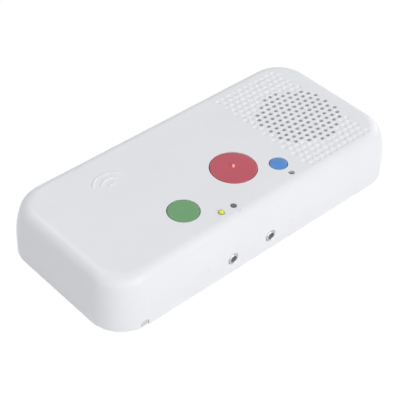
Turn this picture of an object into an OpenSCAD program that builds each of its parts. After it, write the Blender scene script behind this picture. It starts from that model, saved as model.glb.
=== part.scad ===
// Nurse call room terminal: a white two-part housing with three call buttons, two lamps,
// a microphone, a loudspeaker behind a pierced grille and two sockets for call leads.
// X runs along the housing to the loudspeaker end, Y from the socket side to the back edge,
// Z out of the button face. The origin is the middle of the face that lies on the wall.

/* [Housing] */
// Length of the housing, end to end
body_l = 196; // [190:1:220]
// Width of the housing, socket side to back edge
body_w = 91; // [89:1:105]
// Height of the housing up to its flat face
body_h = 30; // [29:0.5:36]
// Radius of the four upright corners at the foot
corner_r = 19; // [16:0.5:22]
// Wall thickness of the cover
wall = 2.2; // [1.8:0.1:2.6]
// Radius of the side walls where they lean in above the upright band
side_r = 60; // [40:1:70]
// Angle that the side walls lean in by, in degrees
side_lean = 16; // [12:1:20]
// Radius of the edge between the side walls and the flat face
top_r = 6.5; // [4.5:0.5:8]
// Width of the pry notch in the foot of the socket side
notch_w = 4.6; // [3:0.1:6]
// Height of the pry notch
notch_h = 4.2; // [4:0.1:7]
// Distance of the pry notch from the end without the loudspeaker
notch_from_end = 17.6; // [17:0.1:24]
// Depth in the pry notch at which the base plate's release tongue starts
tongue_in = 1; // [0.6:0.1:1.4]
// Gap between the release tongue and the notch
tongue_gap = 0.25; // [0.2:0.05:0.4]

/* [Base plate] */
// Thickness of the base plate
base_t = 2.5; // [2:0.1:3.5]
// Gap between the base plate and the cover, all round
base_gap = 0.3; // [0.2:0.05:0.5]
// Height of the rim round the base plate
rim_h = 4.5; // [4:0.1:5]
// Thickness of that rim
rim_t = 1.6; // [1.2:0.1:2.2]
// Distance between the two wall screw holes
wall_screw_pitch = 60; // [52:1:80]
// Diameter of the wall screw holes
wall_screw_d = 4.4; // [3.6:0.1:5.2]
// Diameter of the countersink for a wall screw's head
wall_screw_head_d = 8.6; // [7.6:0.1:10]
// Length of the cable entry
entry_l = 36; // [24:1:40]
// Width of the cable entry
entry_w = 22; // [14:1:24]
// Corner radius of the cable entry
entry_r = 3; // [1:0.5:5]
// Distance of the cable entry and the wall screws from the centre line
entry_y = 12; // [8:1:13]
// Distance of the snap hooks from the middle of the housing
hook_x = 62; // [50:1:66]
// Width of a snap hook
hook_w = 8; // [5:0.5:10]
// Thickness of a snap hook's leg
hook_t = 1.6; // [1.2:0.1:2]
// Depth that a hook's nose reaches over its ledge
hook_bite = 0.8; // [0.5:0.1:1]
// Height of the ledge under a hook's nose, above the foot
ledge_z = 6; // [5.6:0.1:6.4]
// Thickness of that ledge
ledge_t = 1.2; // [0.8:0.1:1.4]
// Height of a hook's nose
hook_nose_h = 1.8; // [1.4:0.1:2]

/* [Buttons] */
// Diameter of the call button
call_d = 24.4; // [20:0.2:28]
// Distance of the call button from the middle of the housing
call_x = 6.1; // [2:0.1:8]
// Distance of the call button from the socket side
call_from_front = 33.3; // [32:0.1:40]
// Diameter of the presence button
presence_d = 16.2; // [12:0.2:18]
// Distance of the presence button from the middle of the housing, towards the plain end
presence_x = 35.1; // [32:0.1:40]
// Distance of the presence button from the socket side
presence_from_front = 25.1; // [24:0.1:30]
// Diameter of the assistance button
assist_d = 9.4; // [8.6:0.2:11]
// Distance of the assistance button from the middle of the housing
assist_x = 26; // [25:0.1:27]
// Distance of the assistance button behind the microphone
assist_from_mic = 9.3; // [8.9:0.1:12]
// Gap between a button and its hole
cap_gap = 0.3; // [0.2:0.05:0.45]
// Height of a button's rim above the flat face
cap_rise = 0.1; // [0.1:0.1:1]
// Height of a button's crown above its rim
cap_crown = 0.4; // [0.2:0.1:0.8]
// Radius of the edge round a button's top
cap_edge = 0.6; // [0.3:0.1:1]
// Thickness of a button's top
cap_t = 1.8; // [1.4:0.1:2.4]
// Thickness of a button's skirt
skirt_t = 1.3; // [1:0.1:1.4]
// Width of the flange that keeps a button in the cover
flange_w = 1.2; // [0.9:0.1:1.4]
// Thickness of that flange
flange_t = 1.2; // [0.8:0.1:1.6]
// Travel of a button
press = 0.8; // [0.4:0.1:1]
// Wall of the sleeve round the light guide, under the call button
guide_sleeve_t = 1.5; // [1:0.1:2]
// Length of that sleeve
guide_sleeve_l = 5; // [3:0.5:6]

/* [Switches] */
// Side of a push switch's square body
switch_w = 6; // [5:0.1:6.4]
// Height of a push switch's body
switch_h = 3.5; // [3.2:0.1:4.2]
// Thickness of the switch body's floor and lid
switch_skin = 0.5; // [0.3:0.1:0.6]
// Diameter of a switch's plunger
plunger_d = 3.4; // [2.6:0.1:3.6]
// Height of a plunger's top above the board
plunger_h = 6; // [5.2:0.1:8]
// Width and thickness of the foot that keeps a plunger in its switch
plunger_foot = 0.6; // [0.4:0.1:0.7]
// Gap between a plunger and its switch
plunger_gap = 0.2; // [0.1:0.05:0.25]
// Distance between the two switches under the call button
call_switch_pitch = 14; // [12:0.5:15]
// Diameter of the stem under a button
stem_d = 3.6; // [3:0.1:4]

/* [Lamps and microphone] */
// Diameter of a lamp's light pipe
lamp_d = 3; // [2:0.1:3.6]
// Height of the status lamp's top above the flat face
status_rise = 0.9; // [0.4:0.1:1.4]
// Height of the alarm lamp's top above the flat face
alarm_rise = 0.2; // [0.1:0.05:0.8]
// Largest height of the dome on a lamp's top
lamp_crown = 0.4; // [0.2:0.1:0.8]
// Gap between a light pipe and its hole
lamp_gap = 0.1; // [0.05:0.01:0.2]
// Width of the collar that seats a light pipe under the face
lamp_collar = 1.2; // [0.8:0.1:1.6]
// Distance of the status lamp from the middle of the housing, towards the plain end
status_x = 21.9; // [20:0.1:23]
// Distance of the alarm lamp from the middle of the housing, towards the plain end
alarm_x = 13.8; // [12:0.1:15]
// Distance of the two lamps from the edge of the flat face
lamp_in = 3.4; // [2.9:0.1:4.5]
// Height of the light-emitting chips on the board
led_h = 0.9; // [0.6:0.1:1.2]
// Side of the light-emitting chips
led_w = 1.6; // [1:0.1:2]
// Space between a chip and the pipe over it
led_gap = 0.5; // [0.3:0.1:0.8]
// Diameter of the light guide in the call button
guide_d = 1.7; // [1.4:0.1:2.6]
// Height of the light guide's dome above the call button
guide_rise = 1.7; // [0.4:0.1:2]
// Distance of the microphone from the middle of the housing
mic_x = 26.1; // [25.5:0.1:27]
// Distance of the microphone from the edge of the flat face
mic_in = 2.9; // [2.6:0.1:3.4]
// Diameter of the microphone hole
mic_hole_d = 2.8; // [1.8:0.1:3.2]
// Depth of the sleeve's nose below the flat face
mic_nose_in = 0.7; // [0.4:0.1:1.4]
// Diameter of the sound bore in the sleeve
mic_bore_d = 1; // [0.6:0.1:1.4]
// Diameter of the microphone capsule
mic_d = 6; // [4:0.1:6.4]
// Height of the microphone capsule
mic_h = 2.7; // [1.8:0.1:3.4]
// Diameter of the port in the capsule's top
mic_port_d = 2; // [1:0.1:2.4]
// Depth of that port
mic_port_h = 0.5; // [0.3:0.1:1]
// Wall of the rubber sleeve over the microphone
sleeve_t = 1.1; // [0.8:0.1:1.1]
// Gap between the sleeve and the capsule
sleeve_gap = 0.1; // [0.05:0.01:0.2]

/* [Loudspeaker] */
// Outer diameter of the loudspeaker
speaker_d = 50; // [48:0.5:51]
// Distance of the loudspeaker from the end of the flat face
speaker_in = 1.6; // [1:0.1:2.4]
// Offset of the loudspeaker's axis from the centre line, towards the sockets
speaker_off = 2.9; // [0:0.1:4]
// Thickness of the dust cloth behind the grille
cloth_t = 0.3; // [0.2:0.1:0.6]
// Thickness of the foam ring in front of the loudspeaker
foam_t = 1; // [0.6:0.1:1.4]
// Width of the loudspeaker's front ring
ring_w = 3.5; // [3:0.1:4]
// Thickness of the front ring
ring_t = 1.2; // [1:0.1:1.6]
// Depth of the basket behind the front ring
basket_h = 8; // [7.4:0.1:9]
// Thickness of the basket's sheet
basket_t = 1; // [0.8:0.1:1.2]
// Diameter of the magnet
magnet_d = 26; // [24:0.5:28]
// Thickness of the magnet
magnet_t = 4.5; // [3:0.1:5]
// Thickness of the two iron plates on the magnet
iron_t = 2; // [1.5:0.1:2.4]
// Diameter of the pole in the voice coil
pole_d = 10; // [9:0.1:11]
// Gap on each side of the voice coil
coil_gap = 0.35; // [0.3:0.05:0.45]
// Thickness of the voice coil
coil_t = 0.5; // [0.3:0.1:0.7]
// Thickness of the paper cone
cone_t = 0.4; // [0.3:0.1:0.6]
// Width of the roll between cone and front ring
roll_w = 1.6; // [1.2:0.1:2]
// Travel of the cone to each side
cone_travel = 0.5; // [0.2:0.1:0.6]
// Gap between the moving cone and what flexes beside it
flex_gap = 0.3; // [0.2:0.05:0.4]
// Height of the cone's neck above the basket's floor
neck_rise = 1.5; // [1.3:0.1:2]
// Height of the cone's rim above the underside of the front ring
rim_rise = 0.3; // [0:0.1:0.4]
// Width that the dust cap laps over the cone's neck
cap_lap = 1.2; // [0.8:0.1:2]
// Height of the dust cap
dust_cap_h = 1.8; // [1:0.1:2.2]
// Depth of the spider below the cone's neck
spider_drop = 0.9; // [0.8:0.05:1]
// Width of the spider's foot on the basket
spider_foot = 1; // [0.6:0.1:1.4]
// Width that the magnet's hole is wider by than the top plate's, on each side
magnet_step = 1.5; // [0.5:0.1:2]
// Width that the yoke's edge lies in by from the magnet's
yoke_step = 1; // [0.5:0.1:2]
// Width of the windows in the basket
window_w = 9; // [6:0.5:10]
// Height of sheet left above and below a window
window_edge = 1.2; // [1:0.1:1.6]

/* [Grille] */
// Distance between neighbouring grille holes
grille_pitch = 4.17; // [3.8:0.01:4.6]
// Diameter of the grille holes
grille_hole_d = 2.3; // [1.8:0.1:2.6]
// Radius of the pierced disc, to its outermost hole centres
pierced_r = 22.5; // [17:0.1:22.6]
// Length of the dimpled field
field_l = 46.5; // [40:0.5:48]
// Width of the dimpled field
field_w = 72.6; // [66:0.1:76]
// Distance of the dimpled field from the loudspeaker end
field_from_end = 15; // [14:0.1:20]
// Distance of the dimpled field from the socket side
field_from_front = 8.2; // [5:0.1:12]
// Diameter of a dimple at the surface
dimple_d = 3.4; // [2.6:0.1:3.6]
// Depth of a dimple
dimple_h = 0.6; // [0.2:0.1:0.8]

/* [Wave mark] */
// Distance of the wave mark's centre from the plain end
wave_from_end = 48.6; // [45:0.1:54]
// Distance of the wave mark's centre from the back edge
wave_from_back = 29.9; // [27:0.1:34]
// Radius of the outer wave
wave_r = 10.3; // [8:0.1:12]
// Distance from one wave to the next
wave_step = 4.1; // [3:0.1:4.6]
// Number of waves
wave_count = 3; // [2:1:3]
// Angle that each wave sweeps, in degrees
wave_sweep = 114; // [80:1:140]
// Width of a raised wave
wave_w = 1; // [0.6:0.1:1.6]
// Height of a raised wave
wave_h = 0.3; // [0.2:0.05:0.5]

/* [Board] */
// Thickness of the circuit board
board_t = 1.6; // [1.2:0.1:2]
// Distance of the circuit board from the plain end
board_from_end = 34; // [32:0.5:36]
// Distance of the board's long edges from the housing's sides
board_side = 3.3; // [3:0.1:4]
// Distance of the board from the loudspeaker's front ring, in plan
board_speaker_gap = 2.6; // [1:0.1:3]
// Diameter of the bosses that carry the board
boss_d = 6; // [5:0.1:6.4]
// Distance of the board screws from the board's edges
boss_inset = 5.5; // [4.5:0.1:6]
// Diameter of the board and loudspeaker screws
screw_d = 2.4; // [2:0.1:2.6]
// Gap round a screw in its boss and in the board
screw_gap = 0.05; // [0.02:0.01:0.1]
// Gap between fixed pieces that fit into each other
seat_gap = 0.05; // [0.02:0.01:0.1]
// Length of a board screw under its head
screw_l = 8; // [6:0.5:10]
// Diameter of a board screw's head
screw_head_d = 4.6; // [4:0.1:5]
// Thickness of the screw heads
screw_head_t = 1.6; // [1.2:0.1:1.8]
// Width of the cross in the screw heads
cross_w = 0.6; // [0.4:0.1:0.8]
// Diameter of a loudspeaker screw's washer head
washer_d = 7; // [6.6:0.1:8]
// Diameter of the bosses round the loudspeaker
speaker_boss_d = 5; // [4.4:0.1:5.4]
// Length of a loudspeaker screw under its head
speaker_screw_l = 3; // [2.4:0.1:3.2]
// Side of the control chip
chip_w = 12; // [8:0.5:14]
// Thickness of the control chip
chip_t = 1.5; // [1:0.1:2]
// Number of leads on each of the chip's two sides
lead_n = 8; // [4:1:10]
// Width of a lead
lead_w = 0.4; // [0.3:0.05:0.6]
// Length of a lead
lead_l = 1; // [0.6:0.1:1.6]
// Diameter of the supply capacitor
capacitor_d = 8; // [5:0.5:10]
// Height of the supply capacitor
capacitor_h = 10; // [6:0.5:11]
// Depth and height of the bead round the capacitor's foot
capacitor_bead = 0.6; // [0.3:0.1:0.8]
// Diameter of the two wires to the loudspeaker
wire_d = 1.2; // [0.8:0.1:1.4]
// Distance between those wires
wire_pitch = 2.5; // [2:0.1:3]
// Height of the wires' plug on the board
plug_h = 5; // [4:0.1:6]
// Length of the wires' plug
plug_l = 5.5; // [4:0.1:7]
// Width of the plug past its wires, on each side
plug_side = 2.25; // [1:0.05:3]
// Distance of the plug from the loudspeaker's edge of the board
plug_inset = 8.5; // [6:0.5:10]
// Length of the loudspeaker's tags
tag_l = 5; // [3:0.1:5.5]
// Width of the tags
tag_w = 1.6; // [1.4:0.1:1.8]
// Thickness of the tags
tag_t = 0.5; // [0.3:0.1:0.6]
// Height of the wires above the tags' lower ends
wire_up = 0.6; // [0.6:0.1:1.5]

/* [Antenna] */
// Length of the antenna board under the wave mark
antenna_l = 36; // [34:0.5:36]
// Width of the antenna board
antenna_w = 27; // [24:0.5:27]
// Thickness of the antenna board
antenna_t = 1; // [0.8:0.1:1.6]
// Space between the antenna board and the flat face
antenna_gap = 1.8; // [1.2:0.1:2.4]
// Diameter of the posts that carry the antenna board
post_d = 4.5; // [4:0.1:5]
// Diameter of the pegs through the antenna board
peg_d = 2; // [1.6:0.1:2.4]
// Diameter of the melted heads on those pegs
peg_head_d = 3.2; // [2.8:0.1:4]
// Thickness of the melted heads
peg_head_h = 0.8; // [0.5:0.1:1]
// Number of turns of the printed coil
coil_turns = 4; // [2:1:5]
// Width of the coil's track, and of the space beside it
track_w = 0.8; // [0.5:0.1:0.9]
// Thickness of the coil's track
track_t = 0.1; // [0.05:0.05:0.2]
// Length of the header between the two boards
header_l = 15; // [10:0.5:16]
// Width of that header
header_w = 2.5; // [2:0.1:3]

/* [Lead sockets] */
// Distance between the two lead sockets
jack_pitch = 25.8; // [22:0.1:30]
// Distance of the nearer lead socket from the middle of the housing
jack_x = 2.1; // [0:0.1:4]
// Height of the lead sockets above the foot
jack_z = 8.6; // [8.4:0.1:9]
// Bore of a lead socket, for a 3.5 mm plug
jack_bore_d = 3.6; // [3.55:0.01:3.65]
// Depth of that bore
jack_bore_l = 14; // [12:0.5:15]
// Outer diameter of a socket's metal ferrule
ferrule_d = 6; // [5.4:0.1:6.2]
// Gap round a ferrule in the cover
ferrule_gap = 0.2; // [0.1:0.05:0.3]
// Depth of a ferrule's face below the cover's side
ferrule_sink = 0.2; // [0:0.05:0.5]
// Length of a socket's body
jack_l = 13; // [12.6:0.1:15]
// Width of a socket's body
jack_w = 7; // [6.8:0.1:9]
// Height of a socket's body
jack_h = 6.4; // [6:0.1:6.8]
// Gap between a socket's body and the cover
jack_gap = 0.3; // [0.2:0.05:0.6]
// Thickness of a socket's contact strips
contact_t = 0.3; // [0.2:0.05:0.4]
// Length of a socket's contact strips
contact_l = 7; // [5:0.5:9]

/* [Terminals] */
// Number of terminals
terminal_n = 6; // [2:1:6]
// Distance between terminals
terminal_pitch = 5; // [4.6:0.1:5.2]
// Depth of the terminal block
terminal_w = 8.5; // [7.5:0.1:9.5]
// Height of the terminal block
terminal_h = 7.4; // [6.5:0.1:8.2]
// Diameter of a wire hole in the terminal block
terminal_wire_d = 2.6; // [2:0.1:2.8]
// Diameter of a terminal screw
terminal_screw_d = 3; // [2.4:0.1:3.2]
// Gap round a terminal screw
terminal_gap = 0.1; // [0.05:0.01:0.2]
// Distance of the terminal block from the board's back edge
terminal_inset = 3; // [2:0.1:4]
// Height of the wire holes above the block's lower face
terminal_wire_z = 2.7; // [2.2:0.1:4]
// Thickness left behind the wire holes
terminal_back = 2; // [1:0.1:3]
// Length of a terminal screw
terminal_screw_l = 2.4; // [1.6:0.1:3]
// Width of the slot in a terminal screw
terminal_slot_w = 0.6; // [0.4:0.1:1]
// Depth of that slot
terminal_slot_h = 0.8; // [0.4:0.1:1.2]

/* [Hidden] */
$fn = 64;

// Steps along each arc of the housing's section and of a dome
arc_steps = 8;
// Extra length of a cutting tool past the face that it cuts
past = 1;

// Section of the side walls
side_band = body_h - top_r - (side_r - top_r) * sin(side_lean);
edge_in = side_r - (side_r - top_r) * cos(side_lean);
front_y = -body_w / 2;
face_y = front_y + edge_in;
face_x = body_l / 2 - edge_in;
top_in = body_h - wall;

// Heights of the boards
board_z = jack_z + jack_h / 2;
board_top = board_z + board_t;
plunger_top = board_top + plunger_h;
antenna_top = top_in - antenna_gap;
antenna_z = antenna_top - antenna_t;

// Places of the pieces in plan
call_at = [call_x, front_y + call_from_front];
presence_at = [-presence_x, front_y + presence_from_front];
mic_at = [mic_x, face_y + mic_in];
assist_at = [assist_x, mic_at[1] + assist_from_mic];
status_at = [-status_x, face_y + lamp_in];
alarm_at = [-alarm_x, face_y + lamp_in];
speaker_r = speaker_d / 2;
speaker_at = [face_x - speaker_in - speaker_r, -speaker_off];
wave_at = [wave_from_end - body_l / 2, body_w / 2 - wave_from_back];
call_switch_at = [for (s = [-1, 1]) call_at + [s * call_switch_pitch / 2, 0]];
jack_xs = [jack_x, jack_x - jack_pitch];
notch_x = notch_from_end - body_l / 2;

// Outline and screws of the circuit board
board_x0 = board_from_end - body_l / 2;
board_x1 = speaker_at[0] - speaker_r - board_speaker_gap;
board_y1 = body_w / 2 - board_side;
board_screw_at = [
  [board_x0 + boss_inset, -board_y1 + boss_inset],
  [(call_x + mic_x) / 2, -board_y1 + boss_inset],
  [board_x0 + boss_inset, board_y1 - boss_inset],
  [board_x1 - boss_inset, board_y1 - boss_inset]
];

// Levels of the loudspeaker, from its front ring down
ring_top = top_in - cloth_t - foam_t;
ring_z = ring_top - ring_t;
basket_z = ring_z - basket_h;
plate_z = basket_z - iron_t;
magnet_z = plate_z - magnet_t;
yoke_z = magnet_z - iron_t;
ring_in_r = speaker_r - ring_w;
coil_r0 = pole_d / 2 + coil_gap;
coil_r1 = coil_r0 + coil_t;
plate_hole_r = coil_r1 + coil_gap;
neck_z = basket_z + basket_t + neck_rise;
rim_z = ring_z + rim_rise;
cone_r = ring_in_r - roll_w - flex_gap;
cap_r = coil_r1 + cap_lap;
spider_z = neck_z - spider_drop;
speaker_boss_r = speaker_r + flex_gap + speaker_boss_d / 2;
speaker_screw_angles = [90, 210, 330];

// Snap hooks and their ledges, measured from the cover's inner side wall
inner_y = body_w / 2 - wall;
ledge_y = inner_y - hook_bite - base_gap;
hook_y = ledge_y - base_gap;
hook_z = ledge_z + ledge_t + base_gap;
hook_spots = [for (sx = [-1, 1], sy = [-1, 1]) [sx, sy]];

// Terminal block, under the board at its back edge
terminal_l = terminal_n * terminal_pitch;
terminal_y = board_y1 - terminal_inset - terminal_w;
terminal_xs = [for (i = [0 : terminal_n - 1]) (i - (terminal_n - 1) / 2) * terminal_pitch];

// Antenna posts and the header between the boards
post_at = [for (sx = [-1, 1], sy = [-1, 1])
  wave_at + [sx * (antenna_l / 2 - post_d / 2), sy * (antenna_w / 2 - post_d / 2)]];
header_at = wave_at + [antenna_l / 2 - post_d - header_w, 0];

// Front face of the socket bodies, just inside the cover, and their contact strips
jack_y = -inner_y + jack_gap;
contact_x = jack_bore_d / 2 + contact_t + seat_gap;
contact_y = jack_y + (jack_l - contact_l) / 2;

// Plug and tags of the loudspeaker's wires
plug_x = board_x1 - plug_inset - plug_l;
tag_x = speaker_at[0] - speaker_r + ring_w / 2;
wire_z0 = ring_z - tag_l + wire_up;
wire_z1 = board_top + plug_h / 2;
wire_steps = 12;
wire_sides = 8;

// Grille lattice: rows along X, every other row shifted by half a pitch
row_pitch = grille_pitch * sqrt(3) / 2;
field_x1 = body_l / 2 - field_from_end;
field_y0 = front_y + field_from_front;
lattice_n = ceil(max(field_l, field_w) / row_pitch);
lattice = [for (j = [-lattice_n : lattice_n], i = [-lattice_n : lattice_n])
  [(i + (j % 2 == 0 ? 0 : 0.5)) * grille_pitch, j * row_pitch]];
pierced = [for (p = lattice) if (norm(p) <= pierced_r) speaker_at + p];
dimples = [for (p = lattice) let (q = speaker_at + p)
  if (norm(p) > pierced_r && q[0] > field_x1 - field_l && q[0] < field_x1
    && q[1] > field_y0 && q[1] < field_y0 + field_w) q];

// Points of the side wall's section, as distance in from the foot and height
function side_curve(inset, foot) = concat(
  [[inset, foot]],
  [for (i = [0 : arc_steps]) let (t = side_lean * i / arc_steps)
    [side_r - (side_r - inset) * cos(t), side_band + (side_r - inset) * sin(t)]],
  [for (i = [1 : arc_steps]) let (t = side_lean + (90 - side_lean) * i / arc_steps)
    [edge_in - (top_r - inset) * cos(t), body_h - top_r + (top_r - inset) * sin(t)]]);

// Height of the housing's surface at a place on its face or on the long edges round it
function skin_z(p) = let (drop = edge_in - (body_w / 2 - abs(p[1])))
  drop > 0 ? body_h - top_r + sqrt(top_r * top_r - drop * drop) : body_h;

// Points of a dome of radius r and height h that stands at height z, rim first
function dome(r, h, z) = [for (i = [0 : arc_steps]) let (t = 90 * i / arc_steps)
  [r * cos(t), z + h * sin(t)]];

module at(p, z = 0) {
  translate([p[0], p[1], z]) children();
}

// The housing's form, shrunk all round by inset, from the height foot up
module housing_form(inset, foot) {
  curve = side_curve(inset, foot);
  half = [for (p = curve) [body_w / 2 - p[0], p[1]]];
  mirrored = [for (i = [len(half) - 1 : -1 : 0]) [-half[i][0], half[i][1]]];
  corner = concat(
    [[0, foot]],
    [for (p = curve) [corner_r - p[0], p[1]]],
    [[0, body_h - inset]]);
  rotate([90, 0, 90])
    linear_extrude(body_l - 2 * corner_r, center = true)
      polygon(concat(half, mirrored));
  for (turn = [0, 180])
    rotate(turn)
      translate([body_l / 2 - corner_r, 0, 0])
        rotate([90, 0, 0])
          linear_extrude(body_w - 2 * corner_r, center = true)
            polygon(corner);
  for (turn = [0, 1, 2, 3]) {
    sx = turn == 0 || turn == 3 ? 1 : -1;
    sy = turn < 2 ? 1 : -1;
    translate([sx * (body_l / 2 - corner_r), sy * (body_w / 2 - corner_r), 0])
      rotate(turn * 90)
        rotate_extrude(angle = 90)
          polygon(corner);
  }
}

// A slab with upright rounded corners, centred in plan
module rounded_slab(l, w, r, h) {
  translate([-l / 2 + r, -w / 2, 0])
    cube([l - 2 * r, w, h]);
  for (s = [-1, 1])
    translate([s > 0 ? l / 2 - r : -l / 2, -w / 2 + r, 0])
      cube([r, w - 2 * r, h]);
  for (sx = [-1, 1], sy = [-1, 1])
    intersection() {
      translate([sx * (l / 2 - r), sy * (w / 2 - r), 0])
        cylinder(r = r, h = h);
      translate([sx > 0 ? l / 2 - r : -l / 2, sy > 0 ? w / 2 - r : -w / 2, 0])
        cube([r, r, h]);
    }
}

// A cylinder along Y, from y0 to y1
module along_y(d, x, y0, y1, z) {
  translate([x, y0, z])
    rotate([-90, 0, 0])
      cylinder(d = d, h = y1 - y0);
}

module boss(p, d, z) {
  at(p, z)
    cylinder(d = d, h = top_in + wall / 2 - z);
}

module pilot(p, z, depth) {
  at(p, z - past)
    cylinder(d = screw_d + 2 * screw_gap, h = depth + past);
}

function speaker_screw_at(a) = speaker_at + speaker_boss_r * [cos(a), sin(a)];

module cover_walls() {
  difference() {
    housing_form(0, 0);
    housing_form(wall, -past);
  }
}

module cover_fixings() {
  for (p = board_screw_at)
    boss(p, boss_d, board_top);
  for (a = speaker_screw_angles)
    boss(speaker_screw_at(a), speaker_boss_d, ring_z);
  for (p = post_at) {
    boss(p, post_d, antenna_top);
    at(p, antenna_z - peg_head_h)
      cylinder(d = peg_d, h = peg_head_h + antenna_t + antenna_gap / 2);
    at(p, antenna_z - peg_head_h)
      cylinder(d = peg_head_d, h = peg_head_h - seat_gap);
  }
  for (s = hook_spots)
    translate([s[0] * hook_x - hook_w / 2, s[1] > 0 ? ledge_y : -inner_y - wall / 2, ledge_z])
      cube([hook_w, inner_y - ledge_y + wall / 2, ledge_t]);
}

module cover_openings() {
  for (b = [[call_at, call_d], [presence_at, presence_d], [assist_at, assist_d]])
    at(b[0], top_in - past)
      cylinder(d = b[1] + 2 * cap_gap, h = wall + 2 * past);
  for (p = [status_at, alarm_at])
    at(p, top_in - past)
      cylinder(d = lamp_d + 2 * lamp_gap, h = wall + 2 * past);
  at(mic_at, top_in - past)
    cylinder(d = mic_hole_d, h = wall + 2 * past);
  for (p = pierced)
    at(p, top_in - past)
      cylinder(d = grille_hole_d, h = wall + 2 * past, $fn = 24);
  for (p = concat(pierced, dimples))
    at(p, skin_z(p) - dimple_h)
      cylinder(d1 = dimple_d / 2, d2 = dimple_d * 1.5, h = 2 * dimple_h, $fn = 24);
  for (x = jack_xs)
    along_y(ferrule_d + 2 * ferrule_gap, x, front_y - past, -inner_y + past, jack_z);
  notch_arch(0, front_y - past, -inner_y + past, -past);
}

// The pry notch's arch, shrunk by inset, between two depths and from the height foot up
module notch_arch(inset, y0, y1, foot) {
  w = notch_w - 2 * inset;
  spring = notch_h - notch_w / 2;
  translate([notch_x - w / 2, y0, foot])
    cube([w, y1 - y0, spring - foot]);
  along_y(w, notch_x, y0, y1, spring);
}

module cover_pilots() {
  for (p = board_screw_at)
    pilot(p, board_top, screw_l);
  for (a = speaker_screw_angles)
    pilot(speaker_screw_at(a), ring_z, speaker_screw_l + screw_gap);
}

module wave_mark() {
  for (i = [0 : wave_count - 1])
    at(wave_at, body_h - wave_h)
      rotate(90 - wave_sweep / 2)
        rotate_extrude(angle = wave_sweep)
          translate([wave_r - i * wave_step - wave_w / 2, 0])
            square([wave_w, 2 * wave_h]);
}

module top_cover() {
  color("#eceef1")
    union() {
      difference() {
        union() {
          cover_walls();
          cover_fixings();
        }
        cover_openings();
        cover_pilots();
      }
      wave_mark();
    }
}

module base_plate() {
  l = body_l - 2 * (wall + base_gap);
  w = body_w - 2 * (wall + base_gap);
  r = corner_r - wall - base_gap;
  color("#d9dbde")
    difference() {
      union() {
        rounded_slab(l, w, r, base_t);
        difference() {
          rounded_slab(l, w, r, rim_h);
          translate([0, 0, -past])
            rounded_slab(l - 2 * rim_t, w - 2 * rim_t, r - rim_t, rim_h + 2 * past);
        }
        for (s = hook_spots)
          snap_hook(s);
        notch_arch(tongue_gap, front_y + tongue_in, -w / 2 + rim_t / 2, 0);
      }
      translate([0, entry_y, -past])
        rounded_slab(entry_l, entry_w, entry_r, base_t + 2 * past);
      for (s = [-1, 1])
        at([s * wall_screw_pitch / 2, entry_y]) {
          translate([0, 0, -past])
            cylinder(d = wall_screw_d, h = base_t + 2 * past);
          translate([0, 0, base_t / 2])
            cylinder(d1 = wall_screw_d, d2 = wall_screw_head_d, h = base_t / 2);
          translate([0, 0, base_t])
            cylinder(d = wall_screw_head_d, h = past);
        }
    }
}

// A snap hook: an upright leg with a nose that hangs over the cover's ledge
module snap_hook(s) {
  translate([s[0] * hook_x, 0, 0])
    mirror([0, s[1] > 0 ? 0 : 1, 0])
      rotate([90, 0, 90])
        linear_extrude(hook_w, center = true)
          polygon([
            [hook_y - hook_t, 0],
            [hook_y, 0],
            [hook_y, hook_z],
            [hook_y + hook_bite, hook_z],
            [hook_y, hook_z + hook_nose_h],
            [hook_y - hook_t, hook_z + hook_nose_h]
          ]);
}

// A push button's cap of diameter d: crowned top, skirt and flange
module cap(d) {
  r = d / 2;
  rim = body_h + cap_rise;
  under = rim - cap_t;
  foot = top_in - flange_t;
  edge = [for (i = [0 : arc_steps]) let (t = 90 * i / arc_steps)
    [r - cap_edge + cap_edge * cos(t), rim - cap_edge + cap_edge * sin(t)]];
  crown = [for (i = [1 : arc_steps]) let (u = 1 - i / arc_steps)
    [(r - cap_edge) * u, rim + cap_crown * (1 - u * u)]];
  rotate_extrude()
    polygon(concat(
      [[0, under], [r - skirt_t, under], [r - skirt_t, foot], [r + flange_w, foot]],
      [[r + flange_w, top_in], [r, top_in]],
      edge,
      crown));
}

module stem(p) {
  at(p, plunger_top)
    cylinder(d = stem_d, h = body_h + cap_rise - cap_t / 2 - plunger_top);
}

module call_button() {
  under = body_h + cap_rise - cap_t;
  color("#b75f5d")
    difference() {
      union() {
        at(call_at)
          cap(call_d);
        for (p = call_switch_at)
          stem(p);
        at(call_at, under - guide_sleeve_l)
          cylinder(d = guide_d + 2 * guide_sleeve_t, h = guide_sleeve_l + cap_t / 2);
      }
      at(call_at, under - guide_sleeve_l - past)
        cylinder(d = guide_d + 2 * seat_gap, h = guide_sleeve_l + cap_t + cap_crown + 2 * past);
    }
}

module call_light_guide() {
  foot = board_top + led_h + led_gap + press;
  shoulder = body_h + cap_rise + cap_crown;
  color("#f4c9c2")
    at(call_at)
      rotate_extrude()
        polygon(concat([[0, foot], [guide_d / 2, foot]], dome(guide_d / 2, guide_rise, shoulder)));
}

module presence_button() {
  color("#719f71") {
    at(presence_at)
      cap(presence_d);
    stem(presence_at);
  }
}

module assist_button() {
  color("#5c92c0") {
    at(assist_at)
      cap(assist_d);
    stem(assist_at);
  }
}

// The square body of a push switch, open where its plunger comes out
module push_switch(p) {
  pocket_d = plunger_d + 2 * (plunger_foot + plunger_gap);
  at(p, board_top)
    difference() {
      translate([-switch_w / 2, -switch_w / 2, 0])
        cube([switch_w, switch_w, switch_h]);
      translate([0, 0, switch_skin])
        cylinder(d = pocket_d, h = switch_h - 2 * switch_skin);
      translate([0, 0, switch_skin])
        cylinder(d = plunger_d + 2 * plunger_gap, h = switch_h);
    }
}

module plunger(p) {
  lid = switch_h - switch_skin;
  at(p, board_top) {
    translate([0, 0, lid - plunger_foot])
      cylinder(d = plunger_d, h = plunger_h - lid + plunger_foot);
    translate([0, 0, lid - plunger_foot])
      cylinder(d = plunger_d + 2 * plunger_foot, h = plunger_foot);
  }
}

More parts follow.
